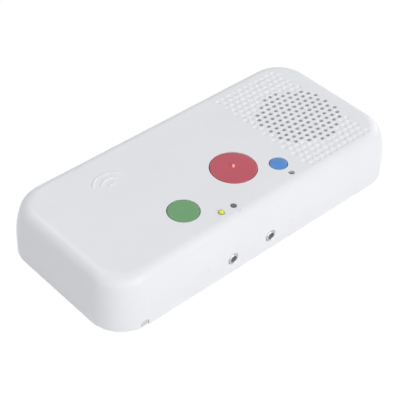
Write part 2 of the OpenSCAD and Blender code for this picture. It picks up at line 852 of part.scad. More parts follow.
module call_switches() {
  color("#2b2d30")
    for (p = call_switch_at)
      push_switch(p);
}

module call_plungers() {
  color("#c9cbce")
    for (p = call_switch_at)
      plunger(p);
}

module presence_switch() {
  color("#2b2d30")
    push_switch(presence_at);
}

module presence_plunger() {
  color("#c9cbce")
    plunger(presence_at);
}

module assist_switch() {
  color("#2b2d30")
    push_switch(assist_at);
}

module assist_plunger() {
  color("#c9cbce")
    plunger(assist_at);
}

module main_board() {
  color("#2f6b46")
    difference() {
      translate([board_x0, -board_y1, board_z])
        cube([board_x1 - board_x0, 2 * board_y1, board_t]);
      for (p = board_screw_at)
        at(p, board_z - past)
          cylinder(d = screw_d + 2 * screw_gap, h = board_t + 2 * past);
    }
}

// A screw that points up, with a cross in its head
module screw(head_d, l) {
  difference() {
    union() {
      cylinder(d = screw_d, h = l);
      translate([0, 0, -screw_head_t])
        cylinder(d = head_d, h = screw_head_t);
    }
    for (turn = [0, 90])
      rotate(turn)
        translate([-screw_d / 2, -cross_w / 2, -screw_head_t - past])
          cube([screw_d, cross_w, screw_head_t / 2 + past]);
  }
}

module board_screws() {
  color("#c4c7ca")
    for (p = board_screw_at)
      at(p, board_z)
        screw(screw_head_d, screw_l);
}

module speaker_screws() {
  color("#c4c7ca")
    for (a = speaker_screw_angles)
      at(speaker_screw_at(a), ring_z)
        screw(washer_d, speaker_screw_l);
}

// A chip with rows of gull-wing leads on two sides
module control_chip() {
  lead_pitch = chip_w / (lead_n + 1);
  color("#222426")
    translate([(board_x0 + board_x1) / 2, board_y1 / 2, board_top]) {
      translate([-chip_w / 2, -chip_w / 2, 0])
        cube([chip_w, chip_w, chip_t]);
      for (i = [1 : lead_n], s = [-1, 1])
        translate([i * lead_pitch - chip_w / 2 - lead_w / 2, s > 0 ? chip_w / 2 : -chip_w / 2 - lead_l, 0])
          cube([lead_w, lead_l, chip_t / 2]);
    }
}

module supply_capacitor() {
  bead = capacitor_bead;
  color("#34415c")
    translate([board_x1 - boss_inset - capacitor_d, board_y1 / 2, board_top])
      rotate_extrude()
        polygon([
          [0, 0], [capacitor_d / 2, 0], [capacitor_d / 2, bead],
          [capacitor_d / 2 - bead / 2, 2 * bead], [capacitor_d / 2, 3 * bead],
          [capacitor_d / 2, capacitor_h - bead], [capacitor_d / 2 - bead, capacitor_h], [0, capacitor_h]
        ]);
}

module led_chips() {
  color("#f2f0e4")
    for (p = [call_at, status_at, alarm_at])
      at(p, board_top)
        translate([-led_w / 2, -led_w / 2, 0])
          cube([led_w, led_w, led_h]);
}

// A light pipe from its chip on the board to a dome in the flat face
module light_pipe(p, rise) {
  foot = board_top + led_h + led_gap;
  r = lamp_d / 2;
  crown = min(lamp_crown, rise);
  at(p)
    rotate_extrude()
      polygon(concat(
        [[0, foot], [r, foot], [r, top_in - lamp_collar], [r + lamp_collar, top_in - lamp_collar]],
        [[r + lamp_collar, top_in], [r, top_in]],
        dome(r, crown, body_h + rise - crown)));
}

module status_lamp() {
  color("#ced556")
    light_pipe(status_at, status_rise);
}

module alarm_lamp() {
  color("#5f6165")
    light_pipe(alarm_at, alarm_rise);
}

module mic_capsule() {
  color("#b9bcc0")
    at(mic_at, board_top)
      difference() {
        cylinder(d = mic_d, h = mic_h);
        translate([0, 0, mic_h - mic_port_h])
          cylinder(d = mic_port_d, h = mic_port_h + past);
      }
}

// A rubber sleeve from the capsule to the microphone hole
module mic_sleeve() {
  roof_z = board_top + mic_h;
  pocket_r = mic_d / 2 + sleeve_gap;
  color("#3a3c3f")
    at(mic_at)
      rotate_extrude()
        polygon([
          [pocket_r, board_top], [pocket_r + sleeve_t, board_top],
          [pocket_r + sleeve_t, roof_z + sleeve_t], [mic_hole_d / 2 + sleeve_t, roof_z + sleeve_t],
          [mic_hole_d / 2 + sleeve_t, top_in], [mic_hole_d / 2 - seat_gap, top_in],
          [mic_hole_d / 2 - seat_gap, body_h - mic_nose_in], [mic_bore_d / 2, body_h - mic_nose_in],
          [mic_bore_d / 2, roof_z], [pocket_r, roof_z]
        ]);
}

module dust_cloth() {
  color("#1d1e20")
    at(speaker_at, top_in - cloth_t)
      cylinder(r = speaker_r, h = cloth_t);
}

module foam_ring() {
  color("#3b3d40")
    at(speaker_at, ring_top)
      difference() {
        cylinder(r = speaker_r, h = foam_t);
        translate([0, 0, -past])
          cylinder(r = ring_in_r, h = foam_t + 2 * past);
      }
}

// Pressed basket: front ring, sloping wall with four windows and a floor with a hole
module speaker_basket() {
  floor_r = magnet_d / 2 + basket_t;
  hole_r = plate_hole_r + basket_t;
  window_z = basket_z + basket_t + window_edge;
  color("#55585c")
    at(speaker_at)
      difference() {
        rotate_extrude()
          polygon([
            [speaker_r, ring_top], [ring_in_r, ring_top], [ring_in_r, ring_z],
            [floor_r - basket_t, basket_z + basket_t], [hole_r, basket_z + basket_t],
            [hole_r, basket_z], [floor_r, basket_z],
            [ring_in_r + basket_t, ring_z], [speaker_r, ring_z]
          ]);
        for (turn = [45, 135, 225, 315])
          rotate(turn)
            translate([floor_r - 2 * basket_t, -window_w / 2, window_z])
              cube([speaker_r - floor_r, window_w, ring_z - window_z - window_edge]);
      }
}

module iron_ring(r1, r0, h, z) {
  at(speaker_at, z)
    difference() {
      cylinder(r = r1, h = h);
      translate([0, 0, -past])
        cylinder(r = r0, h = h + 2 * past);
    }
}

module speaker_top_plate() {
  color("#8d9094")
    iron_ring(magnet_d / 2, plate_hole_r, iron_t, plate_z);
}

module speaker_magnet() {
  color("#2a2b2d")
    iron_ring(magnet_d / 2, plate_hole_r + magnet_step, magnet_t, magnet_z);
}

module speaker_yoke() {
  color("#8d9094")
    at(speaker_at, yoke_z) {
      cylinder(r = magnet_d / 2 - yoke_step, h = iron_t);
      cylinder(d = pole_d, h = basket_z - yoke_z);
    }
}

module speaker_cone() {
  neck_r = coil_r1 + seat_gap;
  color("#4a4c50")
    at(speaker_at)
      rotate_extrude()
        polygon([[neck_r, neck_z], [cone_r, rim_z], [cone_r, rim_z + cone_t], [neck_r, neck_z + cone_t]]);
}

module voice_coil() {
  color("#b0703a")
    iron_ring(coil_r1, coil_r0, neck_z + cone_t - plate_z + cone_travel, plate_z - cone_travel);
}

module dust_cap() {
  slope = (rim_z - neck_z) / (cone_r - coil_r1);
  seat_z = neck_z + cone_t + slope * (cap_r - coil_r1) + seat_gap;
  outer = dome(cap_r, dust_cap_h, seat_z);
  inner = dome(cap_r - cone_t, dust_cap_h - cone_t, seat_z);
  color("#2e3033")
    at(speaker_at)
      rotate_extrude()
        polygon(concat(outer, [for (i = [arc_steps : -1 : 0]) inner[i]]));
}

// Half-round roll that lets the cone move in its ring
module cone_roll() {
  r = roll_w / 2;
  mid = ring_in_r - r - seat_gap;
  color("#26272a")
    at(speaker_at)
      rotate_extrude()
        polygon(concat(
          [for (i = [0 : arc_steps]) let (t = 180 * i / arc_steps) [mid + r * cos(t), rim_z + r * sin(t)]],
          [for (i = [arc_steps : -1 : 0]) let (t = 180 * i / arc_steps)
            [mid + (r - cone_t) * cos(t), rim_z + (r - cone_t) * sin(t)]]));
}

// Flexible disc that centres the voice coil on the basket's floor
module spider() {
  outer_r = magnet_d / 2 - seat_gap;
  color("#c8a35c")
    at(speaker_at)
      rotate_extrude()
        polygon([
          [coil_r1 + flex_gap, spider_z], [outer_r - spider_foot, spider_z],
          [outer_r - spider_foot, basket_z + basket_t], [outer_r, basket_z + basket_t],
          [outer_r, spider_z + cone_t], [coil_r1 + flex_gap, spider_z + cone_t]
        ]);
}

module speaker_tags() {
  color("#c9a24a")
    for (s = [-1, 1])
      translate([tag_x, speaker_at[1] + s * wire_pitch / 2 - tag_w / 2, ring_z - tag_l])
        cube([tag_t, tag_w, tag_l]);
}

// One wire from its tag to the plug: level at both ends, falling smoothly between
function wire_point(u, y) = [
  tag_x + (plug_x + plug_l - tag_x) * u,
  y,
  wire_z0 + (wire_z1 - wire_z0) * u * u * (3 - 2 * u)
];

module wire(y) {
  rings = [for (k = [0 : wire_steps]) let (c = wire_point(k / wire_steps, y))
    [for (a = [0 : wire_sides - 1]) let (t = 360 * a / wire_sides)
      c + wire_d / 2 * [0, cos(t), sin(t)]]];
  points = [for (ring = rings, p = ring) p];
  sides = [for (k = [0 : wire_steps - 1], a = [0 : wire_sides - 1])
    let (b = (a + 1) % wire_sides, lo = k * wire_sides, hi = lo + wire_sides)
    each [[lo + a, lo + b, hi + a], [lo + b, hi + b, hi + a]]];
  first = [for (a = [wire_sides - 1 : -1 : 0]) a];
  last = [for (a = [0 : wire_sides - 1]) wire_steps * wire_sides + a];
  polyhedron(points, concat(sides, [first, last]));
}

module speaker_wires() {
  color("#b8302c")
    for (s = [-1, 1])
      wire(speaker_at[1] + s * wire_pitch / 2);
}

module wire_plug() {
  plug_w = wire_pitch + 2 * plug_side;
  color("#efece2")
    translate([plug_x, speaker_at[1] - plug_w / 2, board_top])
      cube([plug_l, plug_w, plug_h]);
}

module antenna_board() {
  color("#2f6b46")
    difference() {
      translate([wave_at[0] - antenna_l / 2, wave_at[1] - antenna_w / 2, antenna_z])
        cube([antenna_l, antenna_w, antenna_t]);
      for (p = post_at)
        at(p, antenna_z - past)
          cylinder(d = peg_d + 2 * seat_gap, h = antenna_t + 2 * past);
    }
}

// Printed coil: nested square turns, each joined to the next by a short step
module antenna_coil() {
  pitch = 2 * track_w;
  l0 = antenna_l - 2 * post_d - 2 * header_w - 2 * track_w;
  w0 = antenna_w - 2 * post_d - 2 * track_w;
  color("#c98a4b")
    at(wave_at, antenna_z - track_t)
      for (i = [0 : coil_turns - 1]) {
        l = l0 - 2 * i * pitch;
        w = w0 - 2 * i * pitch;
        difference() {
          translate([-l / 2, -w / 2, 0])
            cube([l, w, track_t]);
          translate([-l / 2 + track_w, -w / 2 + track_w, -past])
            cube([l - 2 * track_w, w - 2 * track_w, track_t + 2 * past]);
        }
        if (i > 0)
          translate([l / 2 - track_w, -track_w / 2, 0])
            cube([pitch + track_w / 2, track_w, track_t]);
      }
}

module board_header() {
  color("#1f2022")
    at(header_at, board_top)
      translate([0, -header_l / 2, 0])
        cube([header_w, header_l, antenna_z - board_top]);
}

module jack_bodies() {
  slot = contact_t + 2 * seat_gap;
  color("#222326")
    for (x = jack_xs)
      difference() {
        translate([x - jack_w / 2, jack_y, jack_z - jack_h / 2])
          cube([jack_w, jack_l, jack_h]);
        along_y(jack_bore_d, x, jack_y - past, front_y + ferrule_sink + jack_bore_l, jack_z);
        for (s = [-1, 1])
          translate([x + s * contact_x - slot / 2, contact_y - seat_gap, jack_z - jack_h / 4])
            cube([slot, contact_l + 2 * seat_gap, jack_h]);
      }
}

module jack_ferrules() {
  color("#c8c9cb")
    for (x = jack_xs)
      difference() {
        along_y(ferrule_d, x, front_y + ferrule_sink, jack_y, jack_z);
        along_y(jack_bore_d, x, front_y - past, jack_y + past, jack_z);
      }
}

module jack_contacts() {
  color("#c9a24a")
    for (x = jack_xs, s = [-1, 1])
      translate([x + s * contact_x - contact_t / 2, contact_y, jack_z - jack_h / 4])
        cube([contact_t, contact_l, jack_h * 3 / 4]);
}

module terminal_block() {
  color("#3f7d55")
    difference() {
      translate([-terminal_l / 2, terminal_y, board_z - terminal_h])
        cube([terminal_l, terminal_w, terminal_h]);
      for (x = terminal_xs) {
        along_y(terminal_wire_d, x, terminal_y - past, terminal_y + terminal_w - terminal_back,
          board_z - terminal_h + terminal_wire_z);
        translate([x, terminal_y + terminal_w / 2, board_z - terminal_h - past])
          cylinder(d = terminal_screw_d + 2 * terminal_gap, h = terminal_screw_l + past);
      }
    }
}

module terminal_screws() {
  color("#c4c7ca")
    for (x = terminal_xs)
      translate([x, terminal_y + terminal_w / 2, board_z - terminal_h])
        difference() {
          cylinder(d = terminal_screw_d, h = terminal_screw_l);
          translate([-terminal_screw_d / 2 - past, -terminal_slot_w / 2, -past])
            cube([terminal_screw_d + 2 * past, terminal_slot_w, terminal_slot_h + past]);
        }
}

top_cover();
base_plate();
call_button();
call_light_guide();
presence_button();
assist_button();
call_switches();
call_plungers();
presence_switch();
presence_plunger();
assist_switch();
assist_plunger();
main_board();
board_screws();
control_chip();
supply_capacitor();
led_chips();
status_lamp();
alarm_lamp();
mic_capsule();
mic_sleeve();
dust_cloth();
foam_ring();
speaker_basket();
speaker_top_plate();
speaker_magnet();
speaker_yoke();
speaker_cone();
voice_coil();
dust_cap();
cone_roll();
spider();
speaker_tags();
speaker_wires();
wire_plug();
speaker_screws();
antenna_board();
antenna_coil();
board_header();
jack_bodies();
jack_ferrules();
jack_contacts();
terminal_block();
terminal_screws();
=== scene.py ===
# %% [markdown]
# # A nurse call room terminal
# The measured solids of a wall terminal come in first, as a frame that nothing moves. Around it we
# model the pieces that show: the soft white housing with its grille, three round buttons, two lamps,
# the sockets for call leads and the back plate. Then every piece gets a finish, the hidden ones too.

# %% Load the measured solids
import math

import bmesh
import bpy
from mathutils import Matrix, Vector


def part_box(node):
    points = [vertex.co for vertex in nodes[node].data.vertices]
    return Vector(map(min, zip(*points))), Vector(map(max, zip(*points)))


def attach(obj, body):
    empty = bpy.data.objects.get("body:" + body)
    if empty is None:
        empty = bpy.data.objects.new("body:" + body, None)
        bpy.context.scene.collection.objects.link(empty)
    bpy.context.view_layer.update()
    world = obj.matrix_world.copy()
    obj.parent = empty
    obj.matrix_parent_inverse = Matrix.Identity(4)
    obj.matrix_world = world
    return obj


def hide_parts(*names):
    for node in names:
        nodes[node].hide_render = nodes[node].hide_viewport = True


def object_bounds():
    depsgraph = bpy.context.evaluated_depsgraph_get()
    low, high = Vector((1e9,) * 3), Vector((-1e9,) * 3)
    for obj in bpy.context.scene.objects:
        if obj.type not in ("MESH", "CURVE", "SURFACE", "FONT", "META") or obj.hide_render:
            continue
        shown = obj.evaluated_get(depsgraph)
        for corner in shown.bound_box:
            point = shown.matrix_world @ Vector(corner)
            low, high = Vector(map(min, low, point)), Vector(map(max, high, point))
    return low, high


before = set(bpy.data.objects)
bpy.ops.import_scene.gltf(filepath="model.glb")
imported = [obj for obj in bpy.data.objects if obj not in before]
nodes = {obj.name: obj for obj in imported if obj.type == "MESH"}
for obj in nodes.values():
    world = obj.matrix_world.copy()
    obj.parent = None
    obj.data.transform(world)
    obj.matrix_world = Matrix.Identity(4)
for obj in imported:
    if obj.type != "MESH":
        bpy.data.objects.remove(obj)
cad_low, cad_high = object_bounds()
MM = 0.001
print("solids:", len(nodes), "box in mm:", [round(v / MM, 1) for v in cad_high - cad_low])

# %% [markdown]
# ## The camera
# A picture of a boxy product tells where its camera stood: the long edges run together a little, so
# the lens was a long one, and the top looks about two thirds as deep as it is. We could nudge a
# camera by eye, but a direction, a distance and a small roll written as numbers are easier to keep.

# %% Place the camera
view_azimuth, view_elevation, view_roll = -133.68, 41.42, math.radians(2.32)
view_distance = 637.94 * MM
view_slide = Vector((-3.31 * MM, 2.31 * MM, 0))
view_lens, view_sensor, view_nearest = 108.81, 36, 0.01


def direction(azimuth, elevation=0.0):
    """A vector of length 1, by its angles in degrees from +X and from the floor."""
    around, above = math.radians(azimuth), math.radians(elevation)
    level = math.cos(above)
    return Vector((math.cos(around) * level, math.sin(around) * level, math.sin(above)))


view_back = direction(view_azimuth, view_elevation)
level_right = direction(view_azimuth + 90)
level_up = view_back.cross(level_right)
view_right = math.cos(view_roll) * level_right + math.sin(view_roll) * level_up
view_up = math.cos(view_roll) * level_up - math.sin(view_roll) * level_right
eye = view_right * view_slide.x + view_up * view_slide.y + view_back * view_distance
view_turn = Matrix((view_right, view_up, view_back)).transposed()

bpy.ops.object.camera_add(location=eye, rotation=view_turn.to_euler())
camera = bpy.context.object
camera.data.lens = view_lens
camera.data.sensor_width = view_sensor
camera.data.clip_start = view_nearest
bpy.context.scene.camera = camera
bpy.context.scene.view_settings.view_transform = "Standard"
print("camera at", [round(v, 4) for v in eye])

# %% [markdown]
# ## Hand tools
# Blender's operators act on whatever is selected, and loading the frame leaves its solids selected.
# So each step closes the last piece, opens one for editing, and picks faces by where they lie. A face
# that is inset and moved in one stroke draws any rounded section, ring by ring, which suits moulded
# plastic and turned metal alike.


# %% Selecting
def leave_edit():
    bpy.ops.object.mode_set(mode="OBJECT")


def clear_selection():
    if bpy.context.mode != "OBJECT":
        leave_edit()
    bpy.ops.object.select_all(action="DESELECT")


def activate(piece):
    clear_selection()
    piece.select_set(True)
    bpy.context.view_layer.objects.active = piece


def pick(piece, test=lambda part: True, kind="faces"):
    """Opens a piece in edit mode with only those faces, edges or verts selected that pass the test."""
    activate(piece)
    bpy.ops.object.mode_set(mode="EDIT")
    bpy.ops.mesh.select_mode(type={"faces": "FACE", "edges": "EDGE", "verts": "VERT"}[kind])
    bpy.ops.mesh.select_all(action="DESELECT")
    mesh = bmesh.from_edit_mesh(piece.data)
    for part in getattr(mesh, kind):
        if test(part):
            part.select_set(True)
    bmesh.update_edit_mesh(piece.data)


def pick_end(piece, up):
    """Selects the flat end of a piece: its highest level face, or its lowest."""
    activate(piece)
    heights = [p.center.z for p in piece.data.polygons if abs(p.normal.z) > 0.99]
    level = max(heights) if up else min(heights)
    pick(piece, lambda f: abs(f.normal.z) > 0.99 and abs(f.calc_center_median().z - level) < 1e-6)


print("selecting by place and normal is ready")


# %% Stepping and stretching
def lift(height, across=0.0):
    """Extrudes what is selected along Z, and along Y where that is given."""
    bpy.ops.mesh.extrude_region_move(TRANSFORM_OT_translate={"value": (0, across, height)})


def step(inward, along):
    """Insets the selected face and moves it along its normal, in one stroke."""
    bpy.ops.mesh.inset(thickness=inward, depth=along, use_even_offset=True)


def widen(share_x, share_y=None):
    """Scales what is selected in plan, about the Z axis."""
    bpy.ops.transform.resize(value=(share_x, share_y or share_x, 1), center_override=(0, 0, 0))


def arc_steps(start, end, count):
    """Pairs of angles that cut an arc into equal parts, from degrees to radians."""
    angles = [math.radians(start + (end - start) * i / count) for i in range(count + 1)]
    return list(zip(angles, angles[1:]))


def round_over(width, height, count, end=90):
    """Steps the selected face in and up along a quarter of an ellipse, or a part of it."""
    for a, b in arc_steps(0, end, count):
        step(width * (math.cos(a) - math.cos(b)), height * (math.sin(b) - math.sin(a)))


print("an arc of 90 degrees in 3 steps:", [round(math.degrees(b)) for a, b in arc_steps(0, 90, 3)])

# %% Blanks to start from
plane, cube = bpy.ops.mesh.primitive_plane_add, bpy.ops.mesh.primitive_cube_add


def bake_place():
    """Moves place, turn and scale of the active piece into its mesh."""
    bpy.ops.object.transform_apply(location=True, rotation=True, scale=True)


def blank(add, name, size, place=(0, 0, 0), rotation=(0, 0, 0)):
    """A plane or a cube of the given size."""
    clear_selection()
    add(size=1, location=place, rotation=rotation)
    piece = bpy.context.object
    piece.name = name
    piece.scale = size
    bake_place()
    return piece


def rounded_plate(name, length, width, radius, z, segments=24):
    """A level plate with round corners, to be raised into a body."""
    plate = blank(plane, name, (length, width, 1), (0, 0, z))
    pick(plate, kind="verts")
    bpy.ops.mesh.bevel(offset=radius, segments=segments, affect="VERTICES", clamp_overlap=False)
    return plate


def rod(name, radius, low, high, x=0.0, y=0.0, sides=64):
    """An upright round bar between two heights, the start of every turned piece."""
    clear_selection()
    bpy.ops.mesh.primitive_cylinder_add(vertices=sides, radius=radius, depth=high - low,
                                        location=(x, y, (low + high) / 2))
    bar = bpy.context.object
    bar.name = name
    bake_place()
    return bar


print("blanks: plane, cube, rounded plate and rod")


# %% Copying, joining and finishing
def copy_to(piece, place, turn=0.0, tilt=0.0):
    """A copy of a piece with its own mesh, set at a place, turned about Z and tilted about X."""
    twin = piece.copy()
    twin.data = piece.data.copy()
    twin.location = place
    twin.rotation_euler = (tilt, 0, turn)
    bpy.context.scene.collection.objects.link(twin)
    return twin


def scatter(piece, places, tilt=0.0):
    """Copies of a piece at several places, instead of the piece itself."""
    twins = [copy_to(piece, place, tilt=tilt) for place in places]
    bpy.data.objects.remove(piece)
    return twins


def join(name, pieces):
    """Makes one object of several, with its place in its mesh."""
    activate(pieces[0])
    for piece in pieces:
        piece.select_set(True)
    bpy.ops.object.join()
    bake_place()
    pieces[0].name = name
    return pieces[0]


def combine(piece, tool, how):
    """Adds a tool body to a piece or takes it out of the piece, and throws the tool away."""
    activate(piece)
    boolean = piece.modifiers.new("combine", "BOOLEAN")
    boolean.object = tool
    boolean.operation = how
    boolean.solver = "EXACT"
    bpy.ops.object.modifier_apply(modifier=boolean.name)
    bpy.data.objects.remove(tool)


def face_outwards():
    """Turns all faces of the piece that is open outwards, and closes it."""
    bpy.ops.mesh.select_all(action="SELECT")
    bpy.ops.mesh.normals_make_consistent(inside=False)
    leave_edit()


def tidy_mesh(piece, smooth_below=32):
    """Merges doubles, turns the faces outwards and shades smoothly, with crisp edges kept."""
    pick(piece)
    bpy.ops.mesh.remove_doubles(threshold=2e-6)
    face_outwards()
    bpy.ops.object.shade_smooth_by_angle(angle=math.radians(smooth_below))
    weigh = piece.modifiers.new("weigh", "WEIGHTED_NORMAL")
    weigh.keep_sharp = True
    bpy.ops.object.modifier_apply(modifier=weigh.name)


print("tools ready")

# %% [markdown]
# ## The studio
# The terminal lies on a white sheet in a thin tent, with four broad lamps round it. The tent is the
# world's even light, a little bluish, and the sheet throws much of the lamps' light back at the sides.
# The camera sees both tent and sheet as plain white, and the sheet still takes a faint shadow. Seen
# from below the sheet is clear. It is also open under the terminal, where a fifth lamp shines up at
# the back plate, so that the back can be looked at too. From above that lamp lights nothing.


# %% Node helpers
def fill(node, inputs):
    """Sets a node's sockets to values or links them."""
    for socket, value in inputs.items():
        if isinstance(value, bpy.types.NodeSocket):
            node.id_data.links.new(value, node.inputs[socket])
        else:
            node.inputs[socket].default_value = value


def wire(tree, kind, inputs=None, **settings):
    """Adds a node, sets its options and fills its sockets."""
    node = tree.nodes.new(kind)
    for option, value in settings.items():
        setattr(node, option, value)
    fill(node, inputs or {})
    return node


def seen_directly(tree):
    """1 for rays from the camera, and for those that mirror or glass sends on, else 0."""
    path = wire(tree, "ShaderNodeLightPath")
    bounced = wire(tree, "ShaderNodeMath", {0: path.outputs["Is Glossy Ray"],
                                            1: path.outputs["Is Transmission Ray"]}, operation="ADD")
    return wire(tree, "ShaderNodeMath", {0: path.outputs["Is Camera Ray"], 1: bounced.outputs[0]},
                operation="ADD", use_clamp=True).outputs[0]


print("nodes can be added, filled and linked")

# %% Hang the tent
tent_light = (0.94, 0.97, 1.0, 1)
tent_strength = 0.285

world = bpy.data.worlds.new("studio_tent")
bpy.context.scene.world = world
world.use_nodes = True
sky = world.node_tree
sky.nodes.clear()
tent = wire(sky, "ShaderNodeBackground", {"Color": tent_light, "Strength": tent_strength})
white = wire(sky, "ShaderNodeBackground", {"Color": (1, 1, 1, 1), "Strength": 1})
either = wire(sky, "ShaderNodeMixShader", {0: seen_directly(sky), 1: tent.outputs[0], 2: white.outputs[0]})
wire(sky, "ShaderNodeOutputWorld", {"Surface": either.outputs[0]})
print("tent strength:", tent_strength)

# %% Lay the sheet
sheet_colour = (0.86, 0.86, 0.86, 1)
sheet_white, sheet_share = 1.05, 0.9
sheet_spread, sheet_z = (30, 60), -0.2 * MM
opening_inset, opening_corner = 1.2 * MM, 18 * MM

paper = bpy.data.materials.new("studio_sheet")
paper.use_nodes = True
weft = paper.node_tree
weft.nodes.clear()
matt = wire(weft, "ShaderNodeBsdfDiffuse", {"Color": sheet_colour})
glow = wire(weft, "ShaderNodeEmission", {"Strength": sheet_white})
share = wire(weft, "ShaderNodeMath", {0: seen_directly(weft), 1: sheet_share}, operation="MULTIPLY")
lit_side = wire(weft, "ShaderNodeMixShader", {0: share.outputs[0], 1: matt.outputs[0], 2: glow.outputs[0]})
clear = wire(weft, "ShaderNodeBsdfTransparent")
side = wire(weft, "ShaderNodeNewGeometry")
both_sides = wire(weft, "ShaderNodeMixShader", {
    0: side.outputs["Backfacing"], 1: lit_side.outputs[0], 2: clear.outputs[0]})
wire(weft, "ShaderNodeOutputMaterial", {"Surface": both_sides.outputs[0]})

opening = (cad_high - cad_low).to_2d() - Vector((2, 2)) * opening_inset
sheet = rounded_plate("studio_sheet", opening.x, opening.y, opening_corner, sheet_z, segments=16)
pick(sheet, kind="edges")
bpy.ops.mesh.extrude_edges_move()
widen(*sheet_spread)
pick(sheet, lambda f: len(f.verts) > 4)
bpy.ops.mesh.delete(type="FACE")
leave_edit()
sheet.data.materials.append(paper)
print("sheet faces:", len(sheet.data.polygons), "opening in mm:", [round(v / MM, 1) for v in opening])

# %% Set the lamps
lamp_distance, lamp_size = 3.0, 1.6
plain_light, cool_light, lilac_light = (1, 1, 1), tent_light[:3], (0.97, 0.93, 1.0)
lamps = {
    "front_lamp": (276, 36, 47.0, plain_light),
    "right_lamp": (5, 10, 21.5, plain_light),
    "left_lamp": (230, 25, 19.0, lilac_light),
    "back_lamp": (100, 55, 28.9, cool_light),
    "under_lamp": (270, -75, 45.0, plain_light),
}
for name, (azimuth, elevation, power, colour) in lamps.items():
    away = direction(azimuth, elevation)
    bpy.ops.object.light_add(type="AREA", location=away * lamp_distance,
                             rotation=away.to_track_quat("Z", "Y").to_euler())
    lamp = bpy.context.object
    lamp.name = name
    lamp.data.size = lamp_size
    lamp.data.energy = power
    lamp.data.color = colour
print("soft lamps:", len(lamps))

# %% [markdown]
# ## The housing
# The cover is one moulding: an upright band, sides that lean in along a wide arc, a tighter round
# edge and a flat face. A cube with bevels can't lean in, so we start from a plate with round corners
# and step its top face inwards and upwards along the two arcs. An inset alone would make the corners
# sharper ring by ring, so most of each step is a scale, which keeps them round. The inside follows
# the same way from below, one wall thickness in, so that holes show a real wall.

# %% Raise the shell
wall = 2.2 * MM
corner_radius = 19 * MM
side_radius, side_lean = 60 * MM, 16
edge_radius = 6.5 * MM
side_steps, edge_steps = 8, 12
inset_share = 0.3


def close_in(size, radius, start, end, count, along=1):
    """Steps the selected face along an arc, partly by inset and partly by scale; returns its new size."""
    for a, b in arc_steps(start, end, count):
        inward = radius * (math.cos(a) - math.cos(b))
        step(inward * inset_share, along * radius * (math.sin(b) - math.sin(a)))
        inset = size - Vector((2, 2)) * inward * inset_share
        size = size - Vector((2, 2)) * inward
        widen(size.x / inset.x, size.y / inset.y)
    return size


cover_low, cover_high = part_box("top_cover")
face_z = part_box("dust_cloth")[1].z + wall
band = face_z - edge_radius - (side_radius - edge_radius) * math.sin(math.radians(side_lean))

outside = (cover_high - cover_low).to_2d()
shell = rounded_plate("housing_shell", outside.x, outside.y, corner_radius, cover_low.z)
pick(shell)
lift(band)
leaning = close_in(outside, side_radius, 0, side_lean, side_steps)
flat = close_in(leaning, edge_radius, side_lean, 90, edge_steps)

pick_end(shell, up=False)
step(wall, 0)
lift(band)
inside = outside - Vector((2, 2)) * wall
leaning = close_in(inside, side_radius - wall, 0, side_lean, side_steps, along=-1)
close_in(leaning, edge_radius - wall, side_lean, 90, edge_steps, along=-1)
leave_edit()
print("shell faces:", len(shell.data.polygons), "flat face in mm:", [round(v / MM, 2) for v in flat])

# %% [markdown]
# ## Posts and ledges inside
# Turned over, a moulded cover is full of small fixings: posts with pilot holes for the board and the
# loudspeaker, pegs that hold the antenna board, and ledges for the snap hooks of the back plate. Each
# kind is modelled once and copied, and a union melts the copies into the shell.

# %% Model a post, a peg and a ledge
pilot_radius, post_chamfer = 1.25 * MM, 0.25 * MM
board_top, ring_underside = 13.4 * MM, 25.3 * MM
root_z = face_z - wall / 2


def screw_post(name, radius, low, pilot_depth):
    """A round post that hangs from the face, with a pilot hole from below."""
    post = rod(name, radius, low + post_chamfer, root_z, sides=32)
    pick_end(post, up=False)
    step(post_chamfer, post_chamfer)
    step(radius - pilot_radius - post_chamfer, 0)
    lift(pilot_depth)
    leave_edit()
    return post


board_post = screw_post("board_post", radius=3.0 * MM, low=board_top, pilot_depth=8 * MM)
speaker_post = screw_post("speaker_post", radius=2.5 * MM, low=ring_underside, pilot_depth=2.4 * MM)

antenna_top, antenna_underside, antenna_play = 26.0 * MM, 25.0 * MM, 0.05 * MM
seat_radius, peg_radius, head_radius, head_height = 2.25 * MM, 1.0 * MM, 1.6 * MM, 0.5 * MM
antenna_peg = rod("antenna_peg", seat_radius, antenna_top, root_z, sides=32)
pick_end(antenna_peg, up=False)
step(seat_radius - peg_radius, 0)
lift(antenna_underside - antenna_top - antenna_play)
lift(0)
widen(head_radius / peg_radius)
lift(-head_height)
step(post_chamfer, post_chamfer)
leave_edit()

ledge_length, ledge_low, ledge_high, ledge_face = 8 * MM, 6.0 * MM, 7.2 * MM, 42.2 * MM
ledge_edge = 0.3 * MM
ledge_depth = cover_high.y - wall / 2 - ledge_face
ledge = blank(cube, "hook_ledge", (ledge_length, ledge_depth, ledge_high - ledge_low))
pick(ledge, lambda e: all(abs(v.co.y + ledge_depth / 2) < 1e-6 for v in e.verts), "edges")
bpy.ops.mesh.bevel(offset=ledge_edge, segments=2)
leave_edit()
print("fixings modelled: two posts, a peg and a ledge")


# %% Set the fixings out and melt them in
def middle_of(node):
    low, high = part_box(node)
    return (low + high) / 2


def on_plan(place):
    return Vector((place.x, place.y, 0))


def at_hooks(piece, y, z=0.0):
    """Copies of a piece at the four snap hooks, turned round on the front side."""
    twins = [copy_to(piece, (sx * hook_reach, sy * y, z), turn=math.pi if sy < 0 else 0)
             for sx, sy in corners]
    bpy.data.objects.remove(piece)
    return twins


speaker_at = on_plan(middle_of("dust_cloth"))
wave_at = on_plan(middle_of("antenna_board"))
board_low, board_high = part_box("main_board")
post_inset, front_post_x = 5.5 * MM, 16.1 * MM
post_y = board_high.y - post_inset
speaker_post_reach, speaker_post_angles = 27.8 * MM, (90, 210, 330)
peg_x, peg_y = 15.75 * MM, 11.25 * MM
hook_reach = 62 * MM
corners = [(sx, sy) for sx in (-1, 1) for sy in (-1, 1)]

